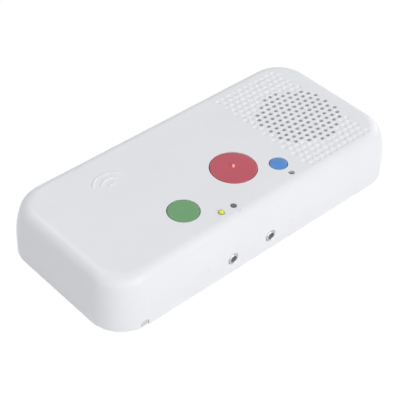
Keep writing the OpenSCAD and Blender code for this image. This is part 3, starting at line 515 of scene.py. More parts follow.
fixings = scatter(board_post, [
    (board_low.x + post_inset, -post_y, 0), (front_post_x, -post_y, 0),
    (board_low.x + post_inset, post_y, 0), (board_high.x - post_inset, post_y, 0)])
fixings += scatter(speaker_post, [speaker_at + direction(angle) * speaker_post_reach
                                  for angle in speaker_post_angles])
fixings += scatter(antenna_peg, [wave_at + Vector((sx * peg_x, sy * peg_y, 0)) for sx, sy in corners])
fixings += at_hooks(ledge, ledge_face + ledge_depth / 2, (ledge_low + ledge_high) / 2)
combine(shell, join("fixings", fixings), "UNION")
print("shell with its fixings:", len(shell.data.polygons), "faces")

# %% [markdown]
# ## Holes in the face
# Buttons, lamps and the microphone look out of round holes whose rims are slightly rounded, as a
# mould leaves them. That thin lip catches the light and makes the hole look real. A cutter that
# flares at the surface gives hole and lip in one boolean cut, which a plain cylinder can't.

# %% Drill for buttons, lamps and microphone
cap_gap = 0.3 * MM
overcut = 0.01 * MM


def drill(radius, lip, sides):
    """A cutter that points down Z, with the surface that it drills at height 0."""
    bit = rod("drill", radius, -2 * wall, -lip, sides=sides)
    pick_end(bit, up=True)
    width = radius
    for a, b in arc_steps(0, 90, 3):
        wider = radius + lip * (1 - math.cos(b))
        rise = lip * (math.sin(b) - math.sin(a))
        lift(rise if b < math.pi / 2 else rise + overcut)
        widen(wider / width)
        width = wider
    lift(wall)
    return bit


call_radius, presence_radius, assist_radius = 12.2 * MM, 8.1 * MM, 4.7 * MM
lamp_hole, mic_hole, small_lip = 1.6 * MM, 1.6 * MM, 0.2 * MM
face_holes = [
    ("call_button", call_radius + cap_gap, 0.35 * MM, 96),
    ("presence_button", presence_radius + cap_gap, 0.3 * MM, 80),
    ("assist_button", assist_radius + cap_gap, 0.25 * MM, 64),
    ("status_lamp", lamp_hole, small_lip, 32),
    ("alarm_lamp", lamp_hole, small_lip, 32),
    ("mic_sleeve", mic_hole, small_lip, 32),
]
cutters = []
for node, radius, lip, sides in face_holes:
    bit = drill(radius, lip, sides)
    spot = middle_of(node)
    bit.location = (spot.x, spot.y, face_z)
    cutters.append(bit)
print("face holes:", [(node, round(radius / MM, 2)) for node, radius, lip, sides in face_holes])

# %% [markdown]
# ## The grille
# The face is dimpled in a honeycomb at the loudspeaker's end, and in the middle of that field every
# dimple is pierced, so the grille fades out softly. One plain dimple and one pierced dimple are
# modelled with few faces, because the pattern repeats them some two hundred times.

# %% Model one grille hole and one dimple
hole_radius = 1.15 * MM
dimple_radius, dimple_depth, dimple_sides = 1.7 * MM, 0.7 * MM, 18
dimple_rings, dimple_middle, hole_rings = 4, 0.6, 2
bowl_radius = (dimple_radius ** 2 + dimple_depth ** 2) / (2 * dimple_depth)
rim_angle, hole_angle = (math.degrees(math.asin(r / bowl_radius)) for r in (dimple_radius, hole_radius))
centre_angle = rim_angle * dimple_middle / (dimple_rings + dimple_middle)


def bowl_bit(name, end, rings):
    """A cutter with a round end, stepped along a ball from the dimple's rim to the angle given."""
    bit = rod(name, dimple_radius, overcut, wall, sides=dimple_sides)
    pick_end(bit, up=False)
    step(0, overcut)
    for a, b in arc_steps(rim_angle, end, rings):
        step(bowl_radius * (math.sin(a) - math.sin(b)), bowl_radius * (math.cos(b) - math.cos(a)))
    return bit


dimple_bit = bowl_bit("dimple_bit", centre_angle, dimple_rings)
leave_edit()
hole_bit = bowl_bit("hole_bit", hole_angle, hole_rings)
lift(-2 * wall)
leave_edit()
print("dimple bowl radius in mm:", round(bowl_radius / MM, 2))

# %% Repeat them on the honeycomb
grille_pitch = 4.17 * MM
row_pitch = grille_pitch * math.sqrt(3) / 2
pierced_reach = 22.5 * MM
field_x = (36.5 * MM, 83.0 * MM)
field_y = (-37.3 * MM, 35.3 * MM)
most_rows, most_columns = 11, 12

hole_spots, dimple_spots = [], []
for row in range(-most_rows, most_rows + 1):
    for column in range(-most_columns, most_columns + 1):
        dx = (column + (row % 2) / 2) * grille_pitch
        dy = row * row_pitch
        x, y = speaker_at.x + dx, speaker_at.y + dy
        if math.hypot(dx, dy) <= pierced_reach:
            hole_spots.append((x, y, face_z))
        elif field_x[0] < x < field_x[1] and field_y[0] < y < field_y[1]:
            dimple_spots.append((x, y, face_z))
cutters += scatter(hole_bit, hole_spots) + scatter(dimple_bit, dimple_spots)
print("grille holes:", len(hole_spots), "dimples:", len(dimple_spots))

# %% [markdown]
# ## Sockets and pry notch
# The long side wall has two holes for call leads and, at its foot, a small arch where a screwdriver
# lifts the cover off. The lead holes are the same flared cutter, laid on its side. The arch is a
# plane whose two upper corners are rounded until they nearly meet, pushed through the wall.

# %% Cut the side wall
front_y = cover_low.y
socket_x, socket_z = (2.1 * MM, -23.7 * MM), 8.6 * MM
socket_hole, socket_lip = 3.2 * MM, 0.25 * MM
for x in socket_x:
    bit = drill(socket_hole, socket_lip, 48)
    bit.rotation_euler = (math.pi / 2, 0, 0)
    bit.location = (x, front_y, socket_z)
    cutters.append(bit)

notch_x, notch_width, notch_height = -80.4 * MM, 4.6 * MM, 4.2 * MM
arch_flat = 0.02 * MM


def arched_block(name, width, foot, top, near, far):
    """A block with a round top that stands in the pry notch between two depths."""
    middle = (foot + top) / 2
    block = blank(plane, name, (width, top - foot, 1), (notch_x, near, middle), (math.pi / 2, 0, 0))
    pick(block, lambda v: v.co.z > middle, "verts")
    bpy.ops.mesh.bevel(offset=width / 2 - arch_flat, segments=10, affect="VERTICES", clamp_overlap=False)
    bpy.ops.mesh.select_all(action="SELECT")
    lift(0, across=far - near)
    face_outwards()
    return block


cutters.append(arched_block("notch", notch_width, -MM, notch_height, front_y - MM, front_y + wall + MM))
combine(shell, join("cutters", cutters), "DIFFERENCE")
tidy_mesh(shell, smooth_below=50)
print("housing shell:", len(shell.data.polygons), "faces")

# %% [markdown]
# ## Raised marks
# Three arcs show where a card or tag is held against the cover, and tiny raised strokes stand beside
# the lamps and above the sockets. An arc is a small rectangle spun round a centre. Its upright end
# edges are rounded first, then its top edges, the way a mould tool is cut.

# %% Spin the three arcs
wave_radii = [r * MM for r in (10.3, 6.2, 2.1)]
wave_width, wave_height, wave_sweep = 1.05 * MM, 0.36 * MM, math.radians(114)
sunk = 0.1 * MM
waves = []
for radius in wave_radii:
    start = wave_at + Vector((0, radius, face_z + (wave_height - sunk) / 2))
    wave = blank(plane, "wave", (wave_height + sunk, wave_width, 1), start, (0, math.pi / 2, 0))
    pick(wave)
    bpy.ops.transform.rotate(value=-wave_sweep / 2, orient_axis="Z", center_override=wave_at)
    spin_steps = max(10, int(radius / MM * 4))
    bpy.ops.mesh.spin(steps=spin_steps, angle=wave_sweep, center=wave_at, axis=(0, 0, 1))
    face_outwards()
    waves.append(wave)
    print("arc of radius", round(radius / MM, 1), "mm:", len(wave.data.polygons), "faces")

# %% Round the arcs' ends and tops
wave_end, wave_edge = wave_width * 0.42, 0.34 * MM


def at_arc_end(edge):
    """True for the upright edges at the two ends of an arc."""
    a, b = (v.co - wave_at for v in edge.verts)
    upright = abs(a.z - b.z) > sunk
    return upright and abs(abs(math.atan2(a.x, a.y)) - wave_sweep / 2) < 1e-3


for wave in waves:
    pick(wave, at_arc_end, "edges")
    bpy.ops.mesh.bevel(offset=wave_end, segments=4)
    pick(wave, lambda f: f.normal.z > 0.9 and f.calc_center_median().z > face_z)
    bpy.ops.mesh.region_to_loop()
    bpy.ops.mesh.bevel(offset=wave_edge, segments=3, clamp_overlap=True)
wave_mark = join("wave_mark", waves)
tidy_mesh(wave_mark, smooth_below=50)
print("wave mark:", len(wave_mark.data.polygons), "faces")

# %% Raise the small strokes
stroke_height, stroke_slope, stroke_width = 0.18 * MM, 0.07 * MM, 0.22 * MM
ring_reach, ring_slope, bar_edge_share = 1.0 * MM, stroke_height * 0.4, 0.3


def bar_mark(place, size):
    """A short raised bar with soft edges."""
    bar = blank(cube, "bar_mark", size, place)
    pick(bar, kind="edges")
    bpy.ops.mesh.bevel(offset=min(size) * bar_edge_share, segments=2)
    return bar


status_spot, alarm_spot = middle_of("status_lamp"), middle_of("alarm_lamp")
stroke_y = -37.8 * MM
flat_edge = cover_high.y - (side_radius - (side_radius - edge_radius) * math.cos(math.radians(side_lean)))
stroke_skin = face_z - edge_radius + math.sqrt(edge_radius ** 2 - (abs(stroke_y) - flat_edge) ** 2)


def on_side(x, z):
    """A place on the long side wall, which leans in above its upright band."""
    return x, front_y + side_radius - math.sqrt(side_radius ** 2 - max(0, z - band) ** 2), z


bars = [
    ((status_spot.x - 0.4 * MM, stroke_y, stroke_skin), (2.1 * MM, 0.42 * MM, 2 * stroke_height)),
    (on_side(-44.2 * MM, 11.9 * MM), (4.2 * MM, 2 * stroke_height, 0.4 * MM)),
    (on_side(-40.2 * MM, 11.4 * MM), (0.8 * MM, 3 * stroke_height, 0.8 * MM)),
    (on_side(15.9 * MM, 12.0 * MM), (0.7 * MM, 2 * stroke_height, 0.7 * MM)),
]
ring = rod("ring_mark", ring_reach, stroke_skin - sunk, stroke_skin + stroke_height - ring_slope,
           alarm_spot.x, stroke_y, sides=28)
pick_end(ring, up=True)
step(stroke_slope, ring_slope)
step(stroke_width, 0)
step(stroke_slope, -ring_slope)
lift(-sunk)
raised_marks = join("raised_marks", [ring] + [bar_mark(place, size) for place, size in bars])
tidy_mesh(raised_marks)
print("raised strokes:", len(raised_marks.data.polygons), "faces")

# %% [markdown]
# ## The buttons
# Each button is a hollow cap: a flange that keeps it under the cover, a skirt, a rounded edge and a
# slightly crowned top. The large red one has a shallow dish in its middle, with a hole for the light
# guide. Insetting one face again and again turns the whole cap, and stems below reach the switches.

# %% Turn a cap
flange_width, flange_low, flange_high = 1.2 * MM, 26.6 * MM, 27.8 * MM
rim_z, crown_height = 30.1 * MM, 0.4 * MM
cap_edge, cap_thickness, cap_skirt = 0.6 * MM, 1.8 * MM, 1.3 * MM
dish_depth, dish_inner, dish_outer = 0.16 * MM, 3.2 * MM, 4.2 * MM
crown_rings, crown_middle, dish_rings = 12, 0.5, 5


def button_cap(name, radius, sides, dished=False):
    """A cap round the Z axis, with its heights as on the terminal."""
    cap = rod(name, radius + flange_width, flange_low, flange_high, sides=sides)
    pick_end(cap, up=True)
    step(flange_width, 0)
    lift(rim_z - cap_edge - flange_high)
    round_over(cap_edge, cap_edge, 6)
    reach = radius - cap_edge
    dish_width = dish_outer - dish_inner

    def top(r):
        part = min(1, max(0, (dish_outer - r) / dish_width)) if dished else 0
        return rim_z + crown_height * (1 - (r / reach) ** 4) - dish_depth * part * part * (3 - 2 * part)

    rings = [reach * (1 - k / (crown_rings + crown_middle)) for k in range(crown_rings + 1)]
    if dished:
        rings += [dish_inner + dish_width * k / dish_rings for k in range(dish_rings + 1)]
        rings.sort(reverse=True)
    for r, inner in zip(rings, rings[1:]):
        step(r - inner, top(inner) - top(r))
    pick_end(cap, up=False)
    step(flange_width + cap_skirt, 0)
    lift(rim_z - cap_thickness - flange_low)
    return cap


print("caps stand", round((rim_z + crown_height - face_z) / MM, 2), "mm above the face")

# %% Add stems and seat the three buttons
stem_radius, stem_low, stem_chamfer, stem_reach = 1.8 * MM, 19.4 * MM, 0.3 * MM, 7 * MM
guide_hole, sleeve_radius, sleeve_low = 0.9 * MM, 2.35 * MM, 23.3 * MM
under_cap = rim_z - cap_thickness / 2


def stem(x=0.0):
    """The round leg that pushes a switch, with a small chamfer at its foot."""
    leg = rod("stem", stem_radius, stem_low + stem_chamfer, under_cap, x, 0, sides=32)
    pick_end(leg, up=False)
    step(stem_chamfer, stem_chamfer)
    return leg


def set_down(piece, spot):
    """Moves a piece from the Z axis to its place and leaves that place in its mesh."""
    activate(piece)
    piece.location = (spot.x, spot.y, 0)
    bake_place()


def seat_button(cap, legs, node, bore=None):
    """Adds its legs to a cap, bores it where a tool is given, and finishes it in its place."""
    combine(cap, legs, "UNION")
    if bore:
        combine(cap, bore, "DIFFERENCE")
    set_down(cap, middle_of(node))
    tidy_mesh(cap, smooth_below=40)
    cap_top = max(v.co.z for v in cap.data.vertices)
    print(cap.name, len(cap.data.polygons), "faces, top at", round(cap_top / MM, 2))
    return cap


sleeve = rod("sleeve", sleeve_radius, sleeve_low, under_cap, sides=40)
red_button = seat_button(
    button_cap("red_button", call_radius, 112, dished=True),
    join("under_red", [stem(-stem_reach), stem(stem_reach), sleeve]), "call_button",
    bore=rod("guide_bit", guide_hole, sleeve_low - MM, face_z + 2 * MM, sides=32))
green_button = seat_button(button_cap("green_button", presence_radius, 96), stem(), "presence_button")
blue_button = seat_button(button_cap("blue_button", assist_radius, 80), stem(), "assist_button")

# %% [markdown]
# ## Lamps and light guide
# The two lamps are clear plastic pins that carry light up from the board: a foot above the light
# chip, a collar that seats under the face and a domed head. The red button has a slimmer guide. All
# three are turned from a rod, and the dome is stepped along an ellipse so that it catches a glint.

# %% Turn the light pins
pin_radius, pin_collar, guide_radius, pin_chamfer = 1.5 * MM, 2.7 * MM, 0.7 * MM, 0.2 * MM
dome_rings, dome_middle = 7, 0.4
dome_end = 90 * dome_rings / (dome_rings + dome_middle)


def light_pin(name, node, radius, dome, collar=0.0, rise=0.0):
    """A light pipe as tall as its node or taller by a rise, with a collar where it seats."""
    low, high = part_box(node)
    foot, shoulder = low.z + pin_chamfer, high.z + rise - dome
    if collar:
        pin = rod(name, collar, flange_low, flange_high, sides=40)
        pick_end(pin, up=True)
        step(collar - radius, 0)
        lift(shoulder - flange_high)
    else:
        pin = rod(name, radius, foot, shoulder, sides=40)
        pick_end(pin, up=True)
    round_over(radius, dome, dome_rings, dome_end)
    pick_end(pin, up=False)
    if collar:
        step(collar - radius, 0)
        lift(foot - flange_low)
    step(pin_chamfer, pin_chamfer)
    set_down(pin, (low + high) / 2)
    tidy_mesh(pin, smooth_below=40)
    print(pin.name, "from", round(low.z / MM, 2), "to", round((high.z + rise) / MM, 2), "mm")
    return pin


yellow_pin = light_pin("yellow_lamp_pin", "status_lamp", pin_radius, 0.9 * MM, pin_collar, rise=0.4 * MM)
dark_pin = light_pin("dark_lamp_pin", "alarm_lamp", pin_radius, 0.2 * MM, pin_collar)
guide_pin = light_pin("light_guide_pin", "call_light_guide", guide_radius, 1.5 * MM)

# %% [markdown]
# ## Lead sockets
# In each hole of the side wall sits a turned nickel ring with a domed end, the mouth of a socket for
# a call lead. It is lined with the dull plastic nose of the socket body, which the plug slides
# through. Both are turned upright as open tubes, and laid on their side at the end.

# %% Turn a ring and its lining, and copy them
ring_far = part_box("jack_ferrules")[1].y
ring_radius, nose_radius, bore_radius = 3.0 * MM, 2.1 * MM, 1.8 * MM
ring_proud, ring_crown = 0.45 * MM, 0.7 * MM
ring_length = ring_far - front_y + ring_proud
mouth_chamfer, nose_edge, nose_recess = 0.1 * MM, 0.1 * MM, 0.1 * MM


def open_tube(name, radius, bore, length, crown):
    """A tube that stands on the floor, with a domed upper end and a small chamfer in its mouth."""
    tube = rod(name, radius, 0, length - crown)
    pick_end(tube, up=True)
    round_over(radius - bore - mouth_chamfer, crown, 6)
    step(mouth_chamfer, -mouth_chamfer)
    lift(mouth_chamfer - length)
    bpy.ops.mesh.delete(type="FACE")
    pick_end(tube, up=False)
    step(radius - bore, 0)
    bpy.ops.mesh.delete(type="FACE")
    leave_edit()
    return tube


def laid_in_sockets(name, tube):
    """Copies a tube into both sockets of the side wall, with its mouth outwards."""
    pair = join(name, scatter(tube, [(x, ring_far, socket_z) for x in socket_x], tilt=math.pi / 2))
    tidy_mesh(pair, smooth_below=40)
    mouth = min(v.co.y for v in pair.data.vertices)
    print(name, len(pair.data.polygons), "faces, y from", round(mouth / MM, 2))
    return pair


socket_rings = laid_in_sockets("socket_rings", open_tube(
    "ring", ring_radius, nose_radius, ring_length, ring_crown))
socket_noses = laid_in_sockets("socket_noses", open_tube(
    "nose", nose_radius, bore_radius, ring_length - nose_recess, nose_edge))

# %% [markdown]
# ## The back plate
# The cover snaps onto a flat tray that is screwed to the wall. It has a raised rim, an opening for
# the building's cable, two screw holes that widen inside for the screw heads, and four hooks. The
# tray is a rounded plate that is raised and hollowed, and the openings are cut last.

# %% Raise the tray
plate_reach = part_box("base_plate")[1]
plate_corner, plate_thickness = 16.5 * MM, 2.5 * MM
rim_width, rim_top, rim_edge = 1.6 * MM, 4.5 * MM, 0.3 * MM
foot_chamfer = 0.3 * MM

back_plate = rounded_plate("back_plate", 2 * plate_reach.x, 2 * plate_reach.y,
                           plate_corner, foot_chamfer, segments=16)
pick(back_plate)
lift(rim_top - foot_chamfer - rim_edge)
step(rim_edge, rim_edge)
step(rim_width - 2 * rim_edge, 0)
step(rim_edge, -rim_edge)
lift(plate_thickness - rim_top + rim_edge)
pick_end(back_plate, up=False)
step(foot_chamfer, foot_chamfer)
leave_edit()
print("tray:", len(back_plate.data.polygons), "faces")

# %% Model a snap hook and set out four
hook_face, hook_foot, hook_thickness, hook_width = 41.9 * MM, 2 * MM, 1.6 * MM, 8 * MM
nose_low, nose_high, nose_bite = 7.5 * MM, 9.3 * MM, 0.8 * MM
nose_slope, hook_edge = nose_bite * 0.9, 0.06 * MM
hook = blank(cube, "hook", (hook_width, hook_thickness, nose_high - hook_foot),
             (0, -hook_thickness / 2, (hook_foot + nose_high) / 2))
pick(hook)
bpy.ops.mesh.bisect(plane_co=(0, 0, nose_low), plane_no=(0, 0, 1))
pick(hook, lambda f: f.normal.y > 0.9 and f.calc_center_median().z > nose_low)
lift(0, across=nose_bite)
pick(hook, lambda e: all(v.co.y > nose_bite / 2 and v.co.z > nose_high - 1e-6 for v in e.verts), "edges")
bpy.ops.transform.translate(value=(0, -nose_slope, 0))
pick(hook, lambda e: all(v.co.z > nose_low - 1e-6 for v in e.verts), "edges")
bpy.ops.mesh.bevel(offset=hook_edge, segments=2)
leave_edit()

hooks = at_hooks(hook, hook_face)
print("hooks:", len(hooks), "with", len(hooks[0].data.polygons), "faces each")

# %% Add the hooks and the release tongue to the tray
tongue_depth, tongue_gap, tongue_foot, tongue_edge = 0.4 * MM, 0.25 * MM, 0.2 * MM, 0.2 * MM
tongue = arched_block("tongue", notch_width - 2 * tongue_gap, tongue_foot, notch_height - tongue_gap,
                      front_y + tongue_depth, rim_width / 2 - plate_reach.y)
pick(tongue, lambda f: f.normal.y < -0.9)
bpy.ops.mesh.region_to_loop()
bpy.ops.mesh.bevel(offset=tongue_edge, segments=2)
combine(back_plate, join("catches", hooks + [tongue]), "UNION")
print("tray with hooks and tongue:", len(back_plate.data.polygons), "faces")

# %% Cut the cable entry and the screw holes
entry_length, entry_width, entry_corner, entry_y = 36 * MM, 22 * MM, 3 * MM, 12 * MM
screw_reach, screw_hole, screw_head = 30 * MM, 2.2 * MM, 4.3 * MM

entry = rounded_plate("entry", entry_length, entry_width, entry_corner, -MM, segments=8)
pick(entry)
lift(plate_thickness + 2 * MM)
set_down(entry, Vector((0, entry_y, 0)))
plate_cutters = [entry]
for sx in (-1, 1):
    bit = rod("screw_bit", screw_hole, -MM, plate_thickness / 2, sides=40)
    pick_end(bit, up=True)
    lift(plate_thickness / 2)
    widen(screw_head / screw_hole)
    lift(MM)
    bit.location = (sx * screw_reach, entry_y, 0)
    plate_cutters.append(bit)
combine(back_plate, join("plate_cutters", plate_cutters), "DIFFERENCE")
tidy_mesh(back_plate, smooth_below=35)
print("back plate:", len(back_plate.data.polygons), "faces")

# %% [markdown]
# ## Moulded plastics
# Most of the terminal is moulded plastic. It is never one flat colour: the mould's fine sparked grain
# breaks up the gloss, and the colour drifts a little where the melt flowed. Two noise patterns in
# object coordinates do this at true scale, a fine one for grain and gloss and a wide one for colour.


# %% Finish helpers
def linear(red, green, blue):
    """A colour given as 0 to 255, as shader values."""
    return tuple(((c / 255 + 0.055) / 1.055) ** 2.4 if c > 10 else c / 3294.6 for c in (red, green, blue))


def new_finish(name):
    finish = bpy.data.materials.new(name)
    finish.use_nodes = True
    tree = finish.node_tree
    place = wire(tree, "ShaderNodeTexCoord").outputs["Object"]
    return finish, tree, tree.nodes["Principled BSDF"], place


def noise(tree, place, size, detail=2.0, distortion=0.0):
    """A cloudy pattern with patches of the given size."""
    return wire(tree, "ShaderNodeTexNoise", {"Vector": place, "Scale": 1 / size, "Detail": detail,
                                             "Distortion": distortion}).outputs["Fac"]


def waves_along(tree, place, axis, spacing, distortion):
    """A pattern of soft bands across an axis."""
    return wire(tree, "ShaderNodeTexWave", {"Vector": place, "Scale": math.pi / 10 / spacing,
                                            "Distortion": distortion},
                wave_type="BANDS", bands_direction=axis).outputs["Fac"]


def ramp(tree, factor, stops):
    """A colour ramp from a list of positions and colours."""
    node = wire(tree, "ShaderNodeValToRGB", {"Fac": factor})
    marks = node.color_ramp.elements
    while len(marks) < len(stops):
        marks.new(0.5)
    for mark, (position, colour) in zip(marks, stops):
        mark.position = position
        mark.color = (*colour, 1)
    return node.outputs["Color"]


def spread(tree, factor, low, high):
    """Turns a pattern of 0 to 1 into values between low and high."""
    limits = {"Value": factor, "To Min": low, "To Max": high}
    return wire(tree, "ShaderNodeMapRange", limits).outputs["Result"]


def bumps(tree, height, depth, strength):
    """A surface shaped by a pattern."""
    relief = {"Height": height, "Distance": depth, "Strength": strength}
    return wire(tree, "ShaderNodeBump", relief).outputs["Normal"]


def drifting(tree, place, colour, drift, size):
    """A colour that drifts a little over a surface, in patches of the given size."""
    pale, deep = (tuple(min(1, c * share) for c in colour) for share in (1 + drift, 1 - drift))
    return ramp(tree, noise(tree, place, size, detail=3.0), [(0.3, deep), (0.7, pale)])


print("a mid grey of 128 is", round(linear(128, 128, 128)[0], 3), "to a shader")

# %% Plastics of the terminal
mould_swing, mould_relief = 0.07, 0.5


def moulded(name, colour, roughness, drift, patch, grain=0.4, depth=0.02):
    """Moulded plastic with a fine grain that shapes its surface and its gloss, lengths in mm."""
    finish, tree, shader, place = new_finish(name)
    grains = noise(tree, place, grain * MM)
    fill(shader, {
        "Base Color": drifting(tree, place, colour, drift, patch * MM),
        "Roughness": spread(tree, grains, roughness - mould_swing, roughness + mould_swing),
        "Normal": bumps(tree, grains, depth * MM, mould_relief),
    })
    return finish


finishes = {
    "white_housing": moulded("housing_white", (0.793, 0.797, 0.807), 0.42, 0.012, patch=30),
    # the back plate's grey is partly its own colour and partly painted shade, darkened so the tongue in
    # the pry notch reads grey
    "base_plastic": moulded("plate_grey_and_painted_shade", linear(206, 208, 211), 0.55, 0.03, 18, 0.7, 0.05),
    "red_cap": moulded("button_red", linear(185, 77, 91), 0.4, 0.03, patch=9),
    "green_cap": moulded("button_green", linear(103, 154, 104), 0.4, 0.03, patch=7),
    "blue_cap": moulded("button_blue", linear(78, 136, 202), 0.4, 0.03, patch=5),
    "black_plastic": moulded("switch_black", linear(38, 39, 42), 0.5, 0.1, 3, 0.25),
    "grey_plastic": moulded("plunger_grey", linear(150, 152, 155), 0.45, 0.05, 2, 0.2),
    "cream_plastic": moulded("plug_cream", linear(232, 224, 200), 0.4, 0.04, patch=3),
    "terminal_plastic": moulded("terminal_green", linear(62, 140, 84), 0.4, 0.05, patch=5),
    "red_insulation": moulded("wire_red", linear(186, 44, 40), 0.35, 0.08, 4, 0.3),
    "black_rubber": moulded("soft_black", linear(34, 34, 36), 0.75, 0.12, 4, 0.3, 0.04),
    "grey_rubber": moulded("soft_grey", linear(150, 150, 152), 0.7, 0.05, 2, 0.2, 0.03),
    "can_sleeve": moulded("capacitor_sleeve", linear(30, 36, 58), 0.3, 0.06, 5, 0.3),
}
print("moulded finishes:", len(finishes))

# %% [markdown]
# ## Lit lenses
# A lit lamp is brightest where its light comes straight out. A sphere gradient in object coordinates,
# centred on the lens, sets both the colour of the plastic and its glow, and its darker rim is painted
# shade on the lens's sides. The unlit lamp uses the same recipe in smoke grey with no glow, so its
# darker rim is painted shade alone.

# %% Lens finishes
lens_roughness, lens_grain = (0.126, 0.234), 0.5 * MM


def lens(name, centre, reach, heart, rim, glow=0.0):
    """Clear tinted plastic that may glow, coloured from its heart to a darker rim of painted shade."""
    finish, tree, shader, place = new_finish(name)
    local = wire(tree, "ShaderNodeMapping", {"Vector": place, "Location": -centre / reach,
                                             "Scale": (1 / reach, 1 / reach, 1 / reach)})
    ball = wire(tree, "ShaderNodeTexGradient", {"Vector": local.outputs[0]}, gradient_type="SPHERICAL")
    tint = ramp(tree, ball.outputs["Fac"], [(0.0, linear(*rim)), (0.75, linear(*heart))])
    fill(shader, {
        "Base Color": tint,
        "Transmission Weight": 0.15,
        "IOR": 1.49,
        "Roughness": spread(tree, noise(tree, place, lens_grain), *lens_roughness),
    })
    if glow:
        fill(shader, {"Emission Color": tint, "Emission Strength": glow})
    return finish


def head_of(node):
    return on_plan(middle_of(node)) + Vector((0, 0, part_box(node)[1].z))


# The yellow lamp's heart sits off its axis toward the camera's side as a painted highlight, and its olive
# rim is painted shade on the sides of the lit dome.
yellow_glow_and_highlight_centre = head_of("status_lamp") + Vector((-0.35, -0.4, 0.1)) * MM
finishes |= {
    "yellow_lamp": lens("lamp_yellow", yellow_glow_and_highlight_centre, 1.9 * MM, (226, 231, 84), (112, 116, 26), 0.22),
    # the unlit smoked lens is darker toward its rim: painted shade
    "smoked_lamp": lens("lamp_smoked", head_of("alarm_lamp"), 2.0 * MM, (120, 121, 124), (60, 61, 64)),
    "lit_guide": lens("guide_lit", head_of("call_light_guide"), 2.2 * MM,
                      (255, 174, 163), (240, 146, 136), 0.3),
    "led_resin": lens("chip_resin", middle_of("led_chips"), 30 * MM, (240, 226, 150), (225, 220, 200)),
}
print("finishes with the lenses:", len(finishes))

# %% [markdown]
# ## Metals
# Turned and stamped metal shows where the tool went: fine bands along a turned ring, cloudy tarnish
# on brass, turns of wire on a coil. The pattern changes how rough the metal is more than its colour,
# which is why polished metal looks streaked only in its reflections.

# %% Metal finishes
tool_wander, tool_depth, tool_relief, cloud_size = 0.6, 0.02 * MM, 0.4, 0.6 * MM


def metal(name, colour, roughness, swing=0.1, bands=0.0, axis="Z", drift=0.06, patch=4):
    """Bare metal, cloudy or with tool bands along an axis where their spacing is given, lengths in mm."""
    finish, tree, shader, place = new_finish(name)
    if bands:
        tool = waves_along(tree, place, axis, bands * MM, tool_wander)
    else:
        tool = noise(tree, place, cloud_size, detail=3.0)
    fill(shader, {
        "Metallic": 1.0,
        "Base Color": drifting(tree, place, colour, drift, patch * MM),
        "Roughness": spread(tree, tool, roughness - swing, roughness + swing),
        "Normal": bumps(tree, tool, tool_depth, tool_relief),
    })
    return finish


finishes |= {
    "nickel": metal("ring_nickel", (0.55, 0.55, 0.545), 0.24, 0.08, bands=0.12, axis="Y"),
    "zinc_steel": metal("zinc_plated", (0.62, 0.63, 0.65), 0.36),
    "basket_steel": metal("basket_pressed", (0.42, 0.42, 0.43), 0.45, patch=9),
    "can_aluminium": metal("mic_can", (0.72, 0.72, 0.73), 0.3, bands=0.2),
    "brass_tag": metal("tag_brass", (0.72, 0.54, 0.24), 0.33, drift=0.15),
    "copper": metal("coil_copper", (0.78, 0.36, 0.2), 0.35, 0.12, bands=0.18),
}
print("finishes with the metals:", len(finishes))

# %% [markdown]
# ## Board, magnet, cloth and paper
# Behind the face there is a green board with fine tracks, a grey ferrite magnet, woven dust cloth,
# soft foam and a fibrous paper cone. Crossed waves make a weave, cells make foam and sintered grain,
# bricks make tracks. Some of this shows through the grille holes, the rest when the cover is off.


# %% Patterns of a given size
def weave(tree, place, thread):
    warp, cross = (waves_along(tree, place, axis, thread, distortion=0.8) for axis in "XY")
    return wire(tree, "ShaderNodeMath", {0: warp, 1: cross}, operation="MULTIPLY").outputs[0]


def cells(tree, place, size):
    return wire(tree, "ShaderNodeTexVoronoi", {"Vector": place, "Scale": 1 / size}).outputs["Distance"]


def fibres(tree, place, size):
    return noise(tree, place, size, detail=6.0, distortion=1.5)


def tracks(tree, place, size):
    return wire(tree, "ShaderNodeTexBrick", {
        "Vector": place, "Scale": 1 / size, "Mortar Size": 0.09, "Mortar Smooth": 0.2,
        "Brick Width": 1.7, "Row Height": 0.31}).outputs["Fac"]


print("patterns: weave, cells, fibres and tracks")

# %% Finishes with a pattern
pattern_swing, pattern_relief = 0.08, 0.6


def patterned(name, pattern, size, low, high, roughness, depth):
    """A finish coloured and shaped by a pattern, with its size and depth in mm."""
    finish, tree, shader, place = new_finish(name)
    value = pattern(tree, place, size * MM)
    fill(shader, {
        "Base Color": ramp(tree, value, [(0.0, linear(*low)), (1.0, linear(*high))]),
        "Roughness": spread(tree, value, roughness + pattern_swing, roughness - pattern_swing),
        "Normal": bumps(tree, value, depth * MM, pattern_relief),
    })
    return finish


pattern_table = {
    "green_laminate": ("board_green", tracks, 5, (24, 84, 52), (58, 132, 84), 0.38, 0.03),
    "ferrite": ("magnet_ferrite", cells, 0.5, (66, 66, 68), (96, 96, 98), 0.62, 0.05),
    "black_cloth": ("dust_weave", weave, 0.35, (18, 18, 20), (60, 60, 63), 0.8, 0.1),
    "grey_foam": ("ring_foam", cells, 0.6, (62, 62, 64), (112, 112, 114), 0.85, 0.2),
    "cone_paper": ("paper_fibre", fibres, 1.2, (46, 44, 42), (82, 79, 75), 0.8, 0.06),
    "spider_cloth": ("spider_weave", weave, 0.5, (150, 112, 58), (204, 164, 98), 0.75, 0.12),
}
for slot, settings in pattern_table.items():
    finishes[slot] = patterned(*settings)
print("finishes in all:", len(finishes))
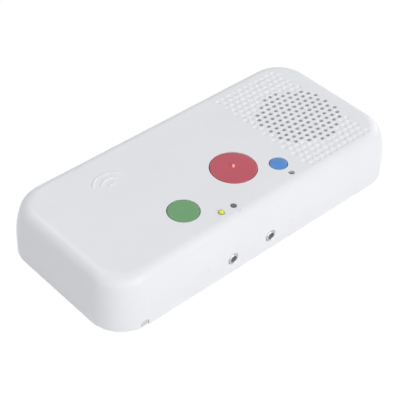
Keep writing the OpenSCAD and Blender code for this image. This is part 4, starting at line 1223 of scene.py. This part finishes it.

# %% [markdown]
# ## Hand-out
# Last comes the bookkeeping: each modelled piece gets the part of the terminal it moves with and its
# finish, and the solids that it stands for are hidden. Solids that are hidden inside keep their own
# shape and only change their finish.


# %% Dress the pieces
def wear(piece, slot):
    piece.data.materials.clear()
    piece.data.materials.append(finishes[slot])


def dress(piece, body, slot, *stands_for):
    """Gives a piece its finish and its body, and hides the solids that it stands for."""
    wear(piece, slot)
    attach(piece, body)
    if stands_for:
        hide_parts(*stands_for)


dress(shell, "housing", "white_housing", "top_cover")
dress(wave_mark, "housing", "white_housing")
dress(raised_marks, "housing", "white_housing")
dress(red_button, "call_button", "red_cap", "call_button")
dress(guide_pin, "call_button", "lit_guide", "call_light_guide")
dress(green_button, "presence_button", "green_cap", "presence_button")
dress(blue_button, "assist_button", "blue_cap", "assist_button")
dress(yellow_pin, "housing", "yellow_lamp", "status_lamp")
dress(dark_pin, "housing", "smoked_lamp", "alarm_lamp")
dress(socket_rings, "housing", "nickel", "jack_ferrules")
dress(socket_noses, "housing", "grey_plastic")
dress(back_plate, "housing", "base_plastic", "base_plate")
print("pieces dressed: 12")

# %% Dress the solids that stay
slot_members = {
    "black_plastic": "call_switches presence_switch assist_switch control_chip board_header",
    "grey_plastic": "call_plungers presence_plunger assist_plunger jack_bodies",
    "green_laminate": "main_board antenna_board",
    "zinc_steel": "board_screws speaker_screws speaker_top_plate speaker_yoke terminal_screws",
    "can_sleeve": "supply_capacitor",
    "led_resin": "led_chips",
    "can_aluminium": "mic_capsule",
    "black_rubber": "cone_roll",
    "grey_rubber": "mic_sleeve",
    "black_cloth": "dust_cloth",
    "grey_foam": "foam_ring",
    "basket_steel": "speaker_basket",
    "ferrite": "speaker_magnet",
    "cone_paper": "speaker_cone dust_cap",
    "copper": "voice_coil antenna_coil",
    "spider_cloth": "spider",
    "brass_tag": "speaker_tags jack_contacts",
    "red_insulation": "speaker_wires",
    "cream_plastic": "wire_plug",
    "terminal_plastic": "terminal_block",
}
for slot, members in slot_members.items():
    for member in members.split():
        wear(nodes[member], slot)
print("solids dressed:", sum(len(m.split()) for m in slot_members.values()))

# %% Finish and clear the selection
clear_selection()
